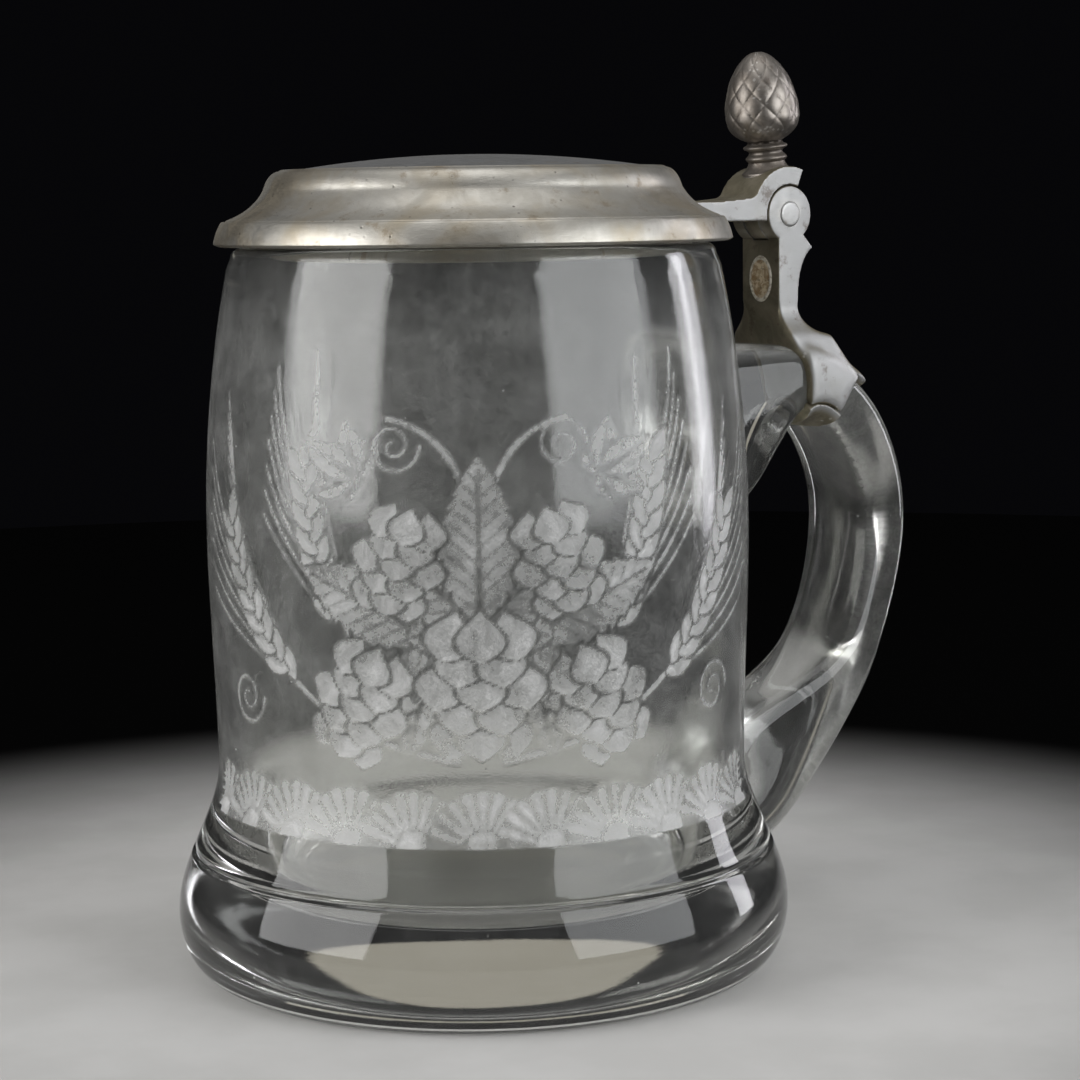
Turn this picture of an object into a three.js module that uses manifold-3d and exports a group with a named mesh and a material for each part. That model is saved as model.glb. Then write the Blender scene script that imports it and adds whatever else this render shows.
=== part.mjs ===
// Glass beer stein with a hinged pewter lid and a pine-cone thumblift.
// Millimetres, +Z up. The origin is the centre of the resting face, the handle points along +X,
// and the lid turns about an axis along Y above the handle.
import * as THREE from "three";
import { mergeVertices } from "three/addons/utils/BufferGeometryUtils.js";
import Module from "manifold-3d";

const wasm = await Module();
wasm.setup();

// Glass body: radii are of the outer surface, heights are above the resting face
const RIM_HEIGHT = 128;
const RIM_RADIUS = 42.8;
const BELLY_HEIGHT = 78;
const BELLY_RADIUS = 48.2;
const WAIST_HEIGHT = 37;
const WAIST_RADIUS = 47.2;
const FOOT_HEIGHT = 10.5;
const FOOT_RADIUS = 55;
const BASE_RADIUS = 49;
const WALL = 3.6;
const FLOOR_THICKNESS = 13;
const FLOOR_ROUNDING = 9;
const RING_HEIGHT = 21.5;
const RING_DEPTH = 0.5;
const RING_WIDTH = 1.4;

// Glass handle: a strap of rounded section, drawn from the upper root to the tail on the foot.
// The upper places are drops below the rim, the lower ones heights above the resting face.
const HANDLE_WIDTH = 20.5;
const HANDLE_THICKNESS = 11.5;
const HANDLE_REACH = 96.9;
const GRIP_HEIGHT = 75;
const CREST_DROP = 21.4;
const CREST_OFFSET = 2.7;
const SHOULDER_DROP = 35.5;
const SHOULDER_INSET = 12.5;
const ELBOW_HEIGHT = 47.5;
const ELBOW_INSET = 12.9;
const UPPER_ROOT_DROP = 35;
const UPPER_ROOT_DEPTH = 31;
const UPPER_ROOT_OFFSET = 4.8;
const TAIL_HEIGHT = 25.8;
const TAIL_DEPTH = 25;
const TAIL_OFFSET = 6.8;
const TAIL_WIDTH = 15;
const TAIL_DROP = 15.5;
const TAIL_TIP = 14;
const ROOT_SINK = 9;
const SECTION_POWER = 3.6;

// Lid: a cast ring with a slanted band, a hollow shoulder and a seat for the domed top
const LID_OVERHANG = 2.9;
const BAND_HEIGHT = 4.2;
const BAND_SLANT = 1.5;
const LIP_HEIGHT = 0.8;
const GROOVE_DEPTH = 0.6;
const SHOULDER_RISE = 8.6;
const SHOULDER_WIDTH = 2.6;
const HOLLOW_HEIGHT = 5.4;
const HOLLOW_SWEEP = 1.9;
const DOME_RADIUS = 32.8;
const BEAD_WIDTH = 1.4;
const BEAD_HEIGHT = 0.7;
const DOME_RISE = 2.7;
const DOME_THICKNESS = 1.8;
const DOME_SEAT = 3;
const LID_SHELL = 2.2;
const FLANGE_DEPTH = 3;
const FLANGE_THICKNESS = 1.8;
const FLANGE_CLEARANCE = 0.7;

// Hinge: two outer knuckles on the shank, a middle knuckle and an arch on the lid's tang
const HINGE_OFFSET = 26.5;
const HINGE_RISE = 4.4;
const KNUCKLE_RADIUS = 5.3;
const PIN_RADIUS = 2.35;
const PIN_PROUD = 0.25;
const HINGE_WIDTH = 10.8;
const MIDDLE_KNUCKLE = 4;
const ARCH_RADIUS = 9;
const ARCH_END = 68;
const LID_SWING = 114;
const STOP_CLEARANCE = 2;
const STOP_RADIUS = 8.6;

// Tang: the bar that is soldered along the lid's shoulder
const BAR_RISE = 2.5;
const BAR_THICKNESS = 3.7;
const BAR_LAP = 12;

// Thumblift: a turned neck and a pine cone that leans towards the lid
const THUMB_LEAN = 6.6;
const NECK_HEIGHT = 4.4;
const NECK_RADIUS = 3.4;
const COLLAR_RADIUS = 4.1;
const COLLAR_HEIGHT = 1.1;
const CONE_RADIUS = 6.6;
const CONE_HEIGHT = 17.4;
const CONE_WIDEST = 0.3;
const CONE_FLAT = 0.01;
const CONE_BASE_ROUNDING = 2.6;
const CONE_TAPER = 1.85;
const CONE_TIP_ROUNDING = 0.55;
const SCALES_AROUND = 10;
const SCALE_ROWS = 3.5;
const SCALE_RELIEF = 0.55;

// Shank and strap: the pewter mount that grips the handle
const STEM_SETBACK = 2.7;
const STEM_THICKNESS = 4.8;
const STEM_FLARE = 8;
const STEM_SPREAD = 5.6;
const STEM_CHAMFER = 0.7;
const TOE_SHOULDER = 8;
const TOE_RISE = 1.3;
const TOE_REACH = 12.5;
const TOE_DROP = 7.5;
const STRAP_OFFSET = -0.3;
const STRAP_LENGTH = 11;
const STRAP_TAIL = 4;
const STRAP_TAIL_ANGLE = 62;
const STRAP_THICKNESS = 1.5;
const STRAP_SEAM = 112;

// Clearances, in millimetres and, for the seam of the strap, in degrees
const SEAT_GAP = 0.3;
const HINGE_GAP = 0.3;
const PIN_CLEARANCE = 0.2;
const SEAM_GAP = 2.6;

// Fineness of the facets
const WELD = 1e-4;
const TURN_STEPS = 44;
const FOOT_STEPS = 4;
const FLARE_STEPS = 6;
const WALL_STEPS = 8;
const RIM_STEPS = 4;
const BORE_STEPS = 6;
const CORNER_STEPS = 4;
const LID_CURVE_STEPS = 4;
const DOME_STEPS = 5;
const SMALL_TURN_STEPS = 24;
const ARC_STEPS = 14;
const NECK_STEPS = 4;
const STEM_STEPS = 6;
const HANDLE_STEPS = 34;
const SECTION_STEPS = 20;
const STRAP_STEPS = 5;
const STRAP_ARC_STEPS = 18;
const SCALE_STEPS = 4;
const SEARCH_STEPS = 40;

// Places that follow from the sizes
const LID_RADIUS = RIM_RADIUS + LID_OVERHANG;
const LID_BOTTOM = RIM_HEIGHT + SEAT_GAP;
const BAND_TOP = LID_BOTTOM + BAND_HEIGHT;
const SHOULDER_TOP = BAND_TOP + SHOULDER_RISE;
const DOME_SEAT_HEIGHT = SHOULDER_TOP - DOME_THICKNESS;
const HINGE_X = RIM_RADIUS + HINGE_OFFSET;
const HINGE_Z = RIM_HEIGHT + HINGE_RISE;
const CLEAR_RADIUS = KNUCKLE_RADIUS + HINGE_GAP;
const STOP_ANGLE = ARCH_END - LID_SWING - STOP_CLEARANCE;
const STEM_INNER = HINGE_X - STEM_SETBACK;
const STEM_OUTER = STEM_INNER + STEM_THICKNESS;
const CREST_HEIGHT = RIM_HEIGHT - CREST_DROP;
const STEM_FOOT = CREST_HEIGHT + SEAT_GAP + STRAP_THICKNESS;
const NECK_START = ARCH_RADIUS;
const CONE_START = NECK_START + NECK_HEIGHT;

const radians = THREE.MathUtils.degToRad;
const smoothstep = THREE.MathUtils.smoothstep;
const lerp = THREE.MathUtils.lerp;

// Solids and geometries

function solidOf(geometry) {
  const bare = new THREE.BufferGeometry();
  bare.setAttribute("position", geometry.getAttribute("position"));
  bare.setIndex(geometry.index);
  const merged = mergeVertices(bare, WELD);
  const vertProperties = new Float32Array(merged.getAttribute("position").array);
  const triVerts = new Uint32Array(merged.index.array);
  return new wasm.Manifold(new wasm.Mesh({ numProp: 3, vertProperties, triVerts }));
}

function geometryOf(solid) {
  const mesh = solid.getMesh();
  const geometry = new THREE.BufferGeometry();
  geometry.setAttribute("position", new THREE.BufferAttribute(mesh.vertProperties, mesh.numProp));
  geometry.setIndex(new THREE.BufferAttribute(mesh.triVerts, 1));
  geometry.computeVertexNormals();
  return geometry;
}

// A profile of (radius, height) points, turned about Z
function turned(profile, steps) {
  return new THREE.LatheGeometry(profile, steps).rotateX(Math.PI / 2);
}

// An outline in the XZ plane, extruded evenly to both sides of it
function extruded(outline, width) {
  const settings = { depth: width, bevelEnabled: false, curveSegments: ARC_STEPS };
  const geometry = new THREE.ExtrudeGeometry(outline, settings);
  return geometry.rotateX(Math.PI / 2).translate(0, width / 2, 0);
}

// A round bar along Y about the hinge axis
function hingeCylinder(radius, width) {
  const geometry = new THREE.CylinderGeometry(radius, radius, width, SMALL_TURN_STEPS);
  return geometry.translate(HINGE_X, 0, HINGE_Z);
}

// A closed skin over rings of points, its faces split in turn along either diagonal,
// with both ends closed by a ladder of faces
function lofted(rings) {
  const count = rings[0].length;
  const positions = rings.flat().flatMap((point) => [point.x, point.y, point.z]);
  const faces = [];
  for (let row = 0; row + 1 < rings.length; row += 1) {
    for (let column = 0; column < count; column += 1) {
      const a = row * count + column;
      const b = row * count + ((column + 1) % count);
      const c = b + count;
      const d = a + count;
      if ((row + column) % 2 === 0) {
        faces.push(a, b, c, a, c, d);
      } else {
        faces.push(a, b, d, b, c, d);
      }
    }
  }
  const last = (rings.length - 1) * count;
  for (let step = 0; step < count / 2 - 1; step += 1) {
    const other = count - 1 - step;
    faces.push(step, other, other - 1, step, other - 1, step + 1);
    faces.push(last + step, last + other - 1, last + other, last + step, last + step + 1, last + other - 1);
  }
  const geometry = new THREE.BufferGeometry();
  geometry.setAttribute("position", new THREE.Float32BufferAttribute(positions, 3));
  geometry.setIndex(faces);
  return geometry;
}

// Glass body

// Outer radius at a height: a bulging foot, a drawn-in waist, a soft belly and a narrower rim
function bodyRadius(z) {
  if (z < FOOT_HEIGHT) {
    const drop = (FOOT_HEIGHT - z) / FOOT_HEIGHT;
    return BASE_RADIUS + (FOOT_RADIUS - BASE_RADIUS) * Math.sqrt(1 - drop * drop);
  }
  if (z < WAIST_HEIGHT) {
    return lerp(FOOT_RADIUS, WAIST_RADIUS, smoothstep(z, FOOT_HEIGHT, WAIST_HEIGHT));
  }
  if (z < BELLY_HEIGHT) {
    return lerp(WAIST_RADIUS, BELLY_RADIUS, smoothstep(z, WAIST_HEIGHT, BELLY_HEIGHT));
  }
  const rise = (z - BELLY_HEIGHT) / (RIM_HEIGHT - BELLY_HEIGHT);
  return BELLY_RADIUS - (BELLY_RADIUS - RIM_RADIUS) * rise * rise;
}

// The outer profile from the edge of the base to the rim, grown by an offset
function bodySide(grow) {
  const heights = [];
  for (let step = 0; step < FOOT_STEPS; step += 1) {
    heights.push(FOOT_HEIGHT * (1 - Math.cos((Math.PI / 2) * (step / FOOT_STEPS))));
  }
  for (let step = 0; step < FLARE_STEPS; step += 1) {
    heights.push(lerp(FOOT_HEIGHT, WAIST_HEIGHT, step / FLARE_STEPS));
  }
  for (let step = 0; step <= WALL_STEPS; step += 1) {
    heights.push(lerp(WAIST_HEIGHT, RIM_HEIGHT, step / WALL_STEPS));
  }
  return heights.map((z) => new THREE.Vector2(bodyRadius(z) + grow, z));
}

// The cut ring round the flare is a shallow notch between two heights of the outer side
function bodyOuterSide() {
  const low = RING_HEIGHT - RING_WIDTH / 2;
  const high = RING_HEIGHT + RING_WIDTH / 2;
  const side = bodySide(0);
  const notch = [
    new THREE.Vector2(bodyRadius(low), low),
    new THREE.Vector2(bodyRadius(RING_HEIGHT) - RING_DEPTH, RING_HEIGHT),
    new THREE.Vector2(bodyRadius(high), high),
  ];
  const below = side.filter((point) => point.y < low);
  const above = side.filter((point) => point.y > high);
  return [...below, ...notch, ...above];
}

// Inner radius at a height: it follows the wall, and runs straight down past the flare of the foot
function boreRadius(z) {
  return bodyRadius(Math.max(z, WAIST_HEIGHT)) - WALL;
}

function glassBody() {
  const rimRounding = WALL / 2;
  const outer = bodyOuterSide().slice(0, -1);
  const rim = [];
  for (let step = 0; step <= RIM_STEPS; step += 1) {
    const angle = (Math.PI * step) / RIM_STEPS;
    const x = RIM_RADIUS - rimRounding + rimRounding * Math.cos(angle);
    rim.push(new THREE.Vector2(x, RIM_HEIGHT - rimRounding + rimRounding * Math.sin(angle)));
  }
  const inner = [];
  const floorTop = FLOOR_THICKNESS + FLOOR_ROUNDING;
  for (let step = 1; step <= BORE_STEPS; step += 1) {
    const z = lerp(RIM_HEIGHT - rimRounding, floorTop, step / BORE_STEPS);
    inner.push(new THREE.Vector2(boreRadius(z), z));
  }
  const centre = boreRadius(floorTop) - FLOOR_ROUNDING;
  for (let step = 1; step <= CORNER_STEPS; step += 1) {
    const angle = (Math.PI / 2) * (step / CORNER_STEPS);
    const x = centre + FLOOR_ROUNDING * Math.cos(angle);
    inner.push(new THREE.Vector2(x, floorTop - FLOOR_ROUNDING * Math.sin(angle)));
  }
  const axisBottom = new THREE.Vector2(0, 0);
  const axisFloor = new THREE.Vector2(0, FLOOR_THICKNESS);
  return turned([axisBottom, ...outer, ...rim, ...inner, axisFloor], TURN_STEPS);
}

// The body without its hollow, grown by the joint's gap, which trims what is fused to its side
function bodyEnvelope() {
  const bottom = new THREE.Vector2(0, -SEAT_GAP);
  const foot = new THREE.Vector2(BASE_RADIUS + SEAT_GAP, -SEAT_GAP);
  const top = new THREE.Vector2(0, RIM_HEIGHT);
  return solidOf(turned([bottom, foot, ...bodySide(SEAT_GAP), top], TURN_STEPS));
}

// Glass handle

// The middle line's places, with the section's thickness and width at each
const rootReach = BELLY_RADIUS + UPPER_ROOT_OFFSET;
const rootHeight = RIM_HEIGHT - UPPER_ROOT_DROP;
const tailReach = FOOT_RADIUS + TAIL_OFFSET;
const handleStations = [
  { x: rootReach - ROOT_SINK, z: rootHeight, thickness: UPPER_ROOT_DEPTH, width: HANDLE_WIDTH },
  { x: rootReach, z: rootHeight, thickness: UPPER_ROOT_DEPTH, width: HANDLE_WIDTH },
  {
    x: HINGE_X + CREST_OFFSET,
    z: CREST_HEIGHT - HANDLE_THICKNESS / 2,
    thickness: HANDLE_THICKNESS,
    width: HANDLE_WIDTH,
  },
  {
    x: HANDLE_REACH - SHOULDER_INSET,
    z: RIM_HEIGHT - SHOULDER_DROP,
    thickness: HANDLE_THICKNESS,
    width: HANDLE_WIDTH,
  },
  {
    x: HANDLE_REACH - HANDLE_THICKNESS / 2,
    z: GRIP_HEIGHT,
    thickness: HANDLE_THICKNESS,
    width: HANDLE_WIDTH,
  },
  { x: HANDLE_REACH - ELBOW_INSET, z: ELBOW_HEIGHT, thickness: HANDLE_THICKNESS, width: HANDLE_WIDTH },
  { x: tailReach, z: TAIL_HEIGHT, thickness: TAIL_DEPTH, width: TAIL_WIDTH },
  { x: tailReach - TAIL_DROP, z: TAIL_HEIGHT - TAIL_DROP, thickness: TAIL_TIP, width: TAIL_WIDTH },
];
const lastStation = handleStations.length - 1;

function smoothLine(points) {
  return new THREE.CatmullRomCurve3(points, false, "centripetal");
}

const handleLine = smoothLine(handleStations.map((station) => new THREE.Vector3(station.x, 0, station.z)));
const handleLength = handleLine.getLength();

// One long edge of the handle from the side: a smooth line through the ends of its stations' sections
function handleEdge(sign) {
  const points = handleStations.map((station, index) => {
    const way = handleLine.getTangent(index / lastStation);
    const out = (sign * station.thickness) / 2;
    return new THREE.Vector3(station.x - way.z * out, 0, station.z + way.x * out);
  });
  return smoothLine(points);
}

const outerEdge = handleEdge(1);
const gripEdge = handleEdge(-1);

function handleWidth(t) {
  const index = Math.min(Math.floor(t * lastStation), lastStation - 1);
  const share = smoothstep(t * lastStation - index, 0, 1);
  return lerp(handleStations[index].width, handleStations[index + 1].width, share);
}

// A point on the handle's skin. The turn is 0 on the outside of the bend and half a turn on the grip side.
function handlePoint(along, turn, grow) {
  const t = handleLine.getUtoTmapping(along);
  const outer = outerEdge.getPoint(t);
  const grip = gripEdge.getPoint(t);
  const middle = outer.clone().lerp(grip, 0.5);
  const half = outer.distanceTo(grip) / 2;
  const across = outer.clone().sub(grip).normalize();
  const rounded = (value) => Math.sign(value) * Math.abs(value) ** (2 / SECTION_POWER);
  const out = (half + grow) * rounded(Math.cos(turn));
  const side = (handleWidth(t) / 2 + grow) * rounded(Math.sin(turn));
  return middle.addScaledVector(across, out).setY(side);
}

function handleSkin(grow) {
  const rings = [];
  for (let row = 0; row <= HANDLE_STEPS; row += 1) {
    const ring = [];
    for (let column = 0; column < SECTION_STEPS; column += 1) {
      const turn = (-2 * Math.PI * (column + 0.5)) / SECTION_STEPS;
      ring.push(handlePoint(row / HANDLE_STEPS, turn, grow));
    }
    rings.push(ring);
  }
  return solidOf(lofted(rings));
}

function glassHandle() {
  return handleSkin(0).subtract(bodyEnvelope());
}

// Pewter strap and shank

// How far along the handle its middle line first reaches a distance from the axis,
// which lies on the half that leads away from the body
function alongHandleAt(x) {
  let low = 0;
  let high = 0.5;
  for (let step = 0; step < SEARCH_STEPS; step += 1) {
    const middle = (low + high) / 2;
    if (handleLine.getPointAt(middle).x < x) {
      low = middle;
    } else {
      high = middle;
    }
  }
  return low;
}

// A shell round part of the handle's section, from one turn to another, still to be cut clear of the glass
function strapShell(firstTurn, lastTurn) {
  const start = alongHandleAt(HINGE_X + STRAP_OFFSET);
  const rings = [];
  for (let column = 0; column <= STRAP_ARC_STEPS; column += 1) {
    const turn = lerp(firstTurn, lastTurn, column / STRAP_ARC_STEPS);
    const away = Math.abs(turn);
    const fade = smoothstep(away, radians(STRAP_TAIL_ANGLE) / 2, radians(STRAP_TAIL_ANGLE));
    const end = start + (STRAP_LENGTH + STRAP_TAIL * (1 - fade)) / handleLength;
    const outside = [];
    const inside = [];
    for (let row = 0; row <= STRAP_STEPS; row += 1) {
      const along = lerp(start, end, row / STRAP_STEPS);
      outside.push(handlePoint(along, turn, SEAT_GAP + STRAP_THICKNESS));
      inside.unshift(handlePoint(along, turn, 0));
    }
    rings.push([...outside, ...inside]);
  }
  return solidOf(lofted(rings));
}

function handleStrap() {
  const first = radians(STRAP_SEAM + SEAM_GAP);
  return strapShell(first, 2 * Math.PI - first).subtract(handleSkin(SEAT_GAP));
}

// The back edge of the shank from the side: a toe on the handle, a slim stem and the stop under the knuckles
function stemBack() {
  const stop = new THREE.Vector2(Math.cos(radians(STOP_ANGLE)), Math.sin(radians(STOP_ANGLE)));
  const tip = new THREE.Vector2(HINGE_X, HINGE_Z).addScaledVector(stop, STOP_RADIUS);
  const root = new THREE.Vector2(HINGE_X, HINGE_Z).addScaledVector(stop, KNUCKLE_RADIUS);
  const toe = STEM_FOOT + TOE_RISE;
  const back = new THREE.Path();
  back.moveTo(HINGE_X + TOE_REACH, STEM_FOOT - TOE_DROP);
  back.lineTo(HINGE_X + TOE_SHOULDER, toe);
  back.quadraticCurveTo(STEM_OUTER, toe, STEM_OUTER, STEM_FOOT + STEM_FLARE);
  back.quadraticCurveTo(STEM_OUTER, tip.y - STEM_THICKNESS / 2, tip.x, tip.y);
  back.lineTo(root.x, root.y);
  back.lineTo(HINGE_X, HINGE_Z);
  return back.getPoints(STEM_STEPS);
}

// The stem is as wide as the hinge above and spreads to the strap's width on the handle
function stem() {
  const bottom = STEM_FOOT - TOE_DROP;
  const footWidth = HANDLE_WIDTH + 2 * (SEAT_GAP + STRAP_THICKNESS);
  const rings = stemBack().map((point) => {
    const left = lerp(HINGE_X, STEM_INNER, smoothstep(point.y, bottom, STEM_FOOT));
    const spread = smoothstep(point.y, bottom, STEM_FOOT + STEM_SPREAD);
    const half = lerp(footWidth, HINGE_WIDTH, spread) / 2;
    const side = half - STEM_CHAMFER;
    const corners = [
      [left + STEM_CHAMFER, -half],
      [point.x - STEM_CHAMFER, -half],
      [point.x, -side],
      [point.x, side],
      [point.x - STEM_CHAMFER, half],
      [left + STEM_CHAMFER, half],
      [left, side],
      [left, -side],
    ];
    return corners.map(([x, y]) => new THREE.Vector3(x, y, point.y));
  });
  return solidOf(lofted(rings));
}

function hingeShank() {
  const seam = radians(STRAP_SEAM);
  const slot = solidOf(hingeCylinder(CLEAR_RADIUS, MIDDLE_KNUCKLE + 2 * HINGE_GAP));
  const hole = solidOf(hingeCylinder(PIN_RADIUS + PIN_CLEARANCE, 2 * HINGE_WIDTH));
  return stem()
    .add(solidOf(hingeCylinder(KNUCKLE_RADIUS, HINGE_WIDTH)))
    .add(strapShell(-seam, seam))
    .subtract(handleSkin(SEAT_GAP))
    .subtract(slot)
    .subtract(hole);
}

function hingePin() {
  const half = HINGE_WIDTH / 2 + PIN_PROUD;
  const profile = [
    new THREE.Vector2(0, -half),
    new THREE.Vector2(PIN_RADIUS - PIN_PROUD, -half),
    new THREE.Vector2(PIN_RADIUS, PIN_PROUD - half),
    new THREE.Vector2(PIN_RADIUS, half - PIN_PROUD),
    new THREE.Vector2(PIN_RADIUS - PIN_PROUD, half),
    new THREE.Vector2(0, half),
  ];
  return new THREE.LatheGeometry(profile, SMALL_TURN_STEPS);
}

// Lid

// The outer side of the lid from its lower lip to the bead round the dome, as a path of radius and height
function lidOuterPath(grow) {
  const bandTopRadius = LID_RADIUS - BAND_SLANT + grow;
  const beadRadius = DOME_RADIUS + BEAD_WIDTH + grow;
  const hollowRadius = beadRadius + SHOULDER_WIDTH;
  const path = new THREE.Path();
  path.moveTo(LID_RADIUS - LIP_HEIGHT + grow, LID_BOTTOM - grow);
  path.lineTo(LID_RADIUS + grow, LID_BOTTOM + LIP_HEIGHT);
  path.quadraticCurveTo(LID_RADIUS + grow, BAND_TOP - BAND_SLANT, bandTopRadius, BAND_TOP);
  path.lineTo(bandTopRadius - GROOVE_DEPTH, BAND_TOP + GROOVE_DEPTH / 2);
  path.quadraticCurveTo(
    hollowRadius + HOLLOW_SWEEP,
    BAND_TOP + HOLLOW_SWEEP,
    hollowRadius,
    BAND_TOP + HOLLOW_HEIGHT,
  );
  path.lineTo(beadRadius + BEAD_WIDTH, SHOULDER_TOP - BEAD_WIDTH);
  path.quadraticCurveTo(beadRadius + BEAD_WIDTH / 2, SHOULDER_TOP + grow, beadRadius, SHOULDER_TOP + grow);
  return path;
}

function lidShell() {
  const boreAtRim = RIM_RADIUS - WALL;
  const flangeOuter = boreAtRim - FLANGE_CLEARANCE;
  const flangeInner = flangeOuter - FLANGE_THICKNESS;
  const seatOuter = DOME_RADIUS + SEAT_GAP;
  const seatInner = DOME_RADIUS - DOME_SEAT;
  const inner = new THREE.Path();
  inner.moveTo(seatInner, DOME_SEAT_HEIGHT - LID_SHELL);
  inner.quadraticCurveTo(flangeInner - LID_SHELL, DOME_SEAT_HEIGHT - LID_SHELL, flangeInner, LID_BOTTOM);
  const profile = [
    new THREE.Vector2(flangeInner, LID_BOTTOM - FLANGE_DEPTH),
    new THREE.Vector2(flangeOuter, LID_BOTTOM - FLANGE_DEPTH),
    new THREE.Vector2(flangeOuter, LID_BOTTOM),
    ...lidOuterPath(0).getPoints(LID_CURVE_STEPS),
    new THREE.Vector2(DOME_RADIUS + BEAD_WIDTH / 2, SHOULDER_TOP + BEAD_HEIGHT),
    new THREE.Vector2(seatOuter, SHOULDER_TOP + BEAD_HEIGHT / 2),
    new THREE.Vector2(seatOuter, DOME_SEAT_HEIGHT),
    new THREE.Vector2(seatInner, DOME_SEAT_HEIGHT),
    ...inner.getPoints(LID_CURVE_STEPS),
    new THREE.Vector2(flangeInner, LID_BOTTOM - FLANGE_DEPTH),
  ];
  return turned(profile, TURN_STEPS);
}

function lidDome() {
  const bottom = DOME_SEAT_HEIGHT + SEAT_GAP;
  const edge = SHOULDER_TOP;
  const hollow = DOME_RADIUS - DOME_SEAT - SEAT_GAP;
  const cap = [];
  const under = [];
  for (let step = 0; step <= DOME_STEPS; step += 1) {
    const share = 1 - step / DOME_STEPS;
    cap.push(new THREE.Vector2(DOME_RADIUS * share, edge + DOME_RISE * (1 - share * share)));
    under.unshift(new THREE.Vector2(hollow * share, bottom + DOME_RISE * (1 - share * share)));
  }
  return turned([...under, new THREE.Vector2(DOME_RADIUS, bottom), ...cap], TURN_STEPS);
}

// The lid without its hollow, grown by the joint's gap, which trims the tang to the shoulder
function lidEnvelope() {
  const side = lidOuterPath(SEAT_GAP).getPoints(LID_CURVE_STEPS);
  const bottom = new THREE.Vector2(0, LID_BOTTOM - SEAT_GAP);
  const top = new THREE.Vector2(0, SHOULDER_TOP + SEAT_GAP);
  return solidOf(turned([bottom, ...side, top], TURN_STEPS));
}

// The tang from the side: a bar along the lid's shoulder and an arch over the knuckles
function tangOutline() {
  const barTop = HINGE_Z + BAR_RISE;
  const barBottom = barTop - BAR_THICKNESS;
  const barEnd = LID_RADIUS - BAR_LAP;
  const topMeet = Math.PI - Math.asin(BAR_RISE / ARCH_RADIUS);
  const bottomMeet = Math.PI + Math.asin((HINGE_Z - barBottom) / CLEAR_RADIUS);
  const outline = new THREE.Shape();
  outline.absarc(HINGE_X, HINGE_Z, ARCH_RADIUS, radians(ARCH_END), topMeet, false);
  outline.lineTo(barEnd, barTop);
  outline.lineTo(barEnd, barBottom);
  outline.absarc(HINGE_X, HINGE_Z, CLEAR_RADIUS, bottomMeet, radians(ARCH_END), true);
  return outline;
}

// The web that joins the middle knuckle to the arch
function tangWeb() {
  const outline = new THREE.Shape();
  outline.absarc(HINGE_X, HINGE_Z, (ARCH_RADIUS + CLEAR_RADIUS) / 2, radians(ARCH_END), Math.PI, false);
  outline.lineTo(HINGE_X - CLEAR_RADIUS, HINGE_Z + BAR_RISE - BAR_THICKNESS);
  outline.lineTo(HINGE_X, HINGE_Z + BAR_RISE - BAR_THICKNESS);
  outline.lineTo(HINGE_X, HINGE_Z);
  return outline;
}

function lidTang() {
  const hole = solidOf(hingeCylinder(PIN_RADIUS + PIN_CLEARANCE, 2 * HINGE_WIDTH));
  return solidOf(extruded(tangOutline(), HINGE_WIDTH))
    .add(solidOf(extruded(tangWeb(), MIDDLE_KNUCKLE)))
    .add(solidOf(hingeCylinder(KNUCKLE_RADIUS, MIDDLE_KNUCKLE)))
    .subtract(hole)
    .subtract(lidEnvelope());
}

// Thumblift, along its own axis from the hinge's level upwards

// Half width of the cone from its base, 0, to its tip, 1: full at the bottom and drawn in above
function coneRadius(share) {
  if (share < CONE_WIDEST) {
    const drop = 1 - share / CONE_WIDEST;
    return CONE_RADIUS * Math.sqrt(1 - drop ** CONE_BASE_ROUNDING);
  }
  const rise = (share - CONE_WIDEST) / (1 - CONE_WIDEST);
  return CONE_RADIUS * (1 - rise ** CONE_TAPER) ** CONE_TIP_ROUNDING;
}

// Relief of the overlapping scales: two crossing spirals of grooves with a boss in each diamond between them
function scaleRelief(across, up) {
  const boss = Math.abs(Math.sin(Math.PI * (across + up)) * Math.sin(Math.PI * (across - up)));
  return SCALE_RELIEF * Math.sqrt(boss);
}

function coneGeometry() {
  const columns = SCALES_AROUND * SCALE_STEPS;
  const rows = Math.round(SCALE_ROWS * SCALE_STEPS);
  const rings = [];
  for (let row = 0; row <= rows; row += 1) {
    const share = lerp(CONE_FLAT, 1 - CONE_FLAT, row / rows);
    const plain = coneRadius(share);
    const ring = [];
    for (let column = 0; column < columns; column += 1) {
      const turn = (2 * Math.PI * column) / columns;
      const radius = plain + scaleRelief(column / SCALE_STEPS, row / SCALE_STEPS) * (plain / CONE_RADIUS);
      const height = CONE_START + share * CONE_HEIGHT;
      ring.push(new THREE.Vector3(radius * Math.cos(turn), radius * Math.sin(turn), height));
    }
    rings.push(ring);
  }
  return lofted(rings);
}

function neckGeometry() {
  const root = NECK_START - NECK_HEIGHT;
  const ringTop = CONE_START + COLLAR_HEIGHT;
  const profile = new THREE.Path();
  profile.moveTo(0, root);
  profile.lineTo(COLLAR_RADIUS, root);
  profile.lineTo(COLLAR_RADIUS, NECK_START + COLLAR_HEIGHT / 2);
  profile.quadraticCurveTo(
    NECK_RADIUS,
    NECK_START + COLLAR_HEIGHT,
    NECK_RADIUS,
    NECK_START + NECK_HEIGHT / 2,
  );
  profile.lineTo(NECK_RADIUS, CONE_START - COLLAR_HEIGHT);
  profile.quadraticCurveTo(
    COLLAR_RADIUS + COLLAR_HEIGHT / 2,
    CONE_START - COLLAR_HEIGHT / 2,
    NECK_RADIUS,
    CONE_START,
  );
  profile.lineTo(NECK_RADIUS, ringTop);
  profile.lineTo(0, ringTop);
  return turned(profile.getPoints(NECK_STEPS), SMALL_TURN_STEPS);
}

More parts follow.
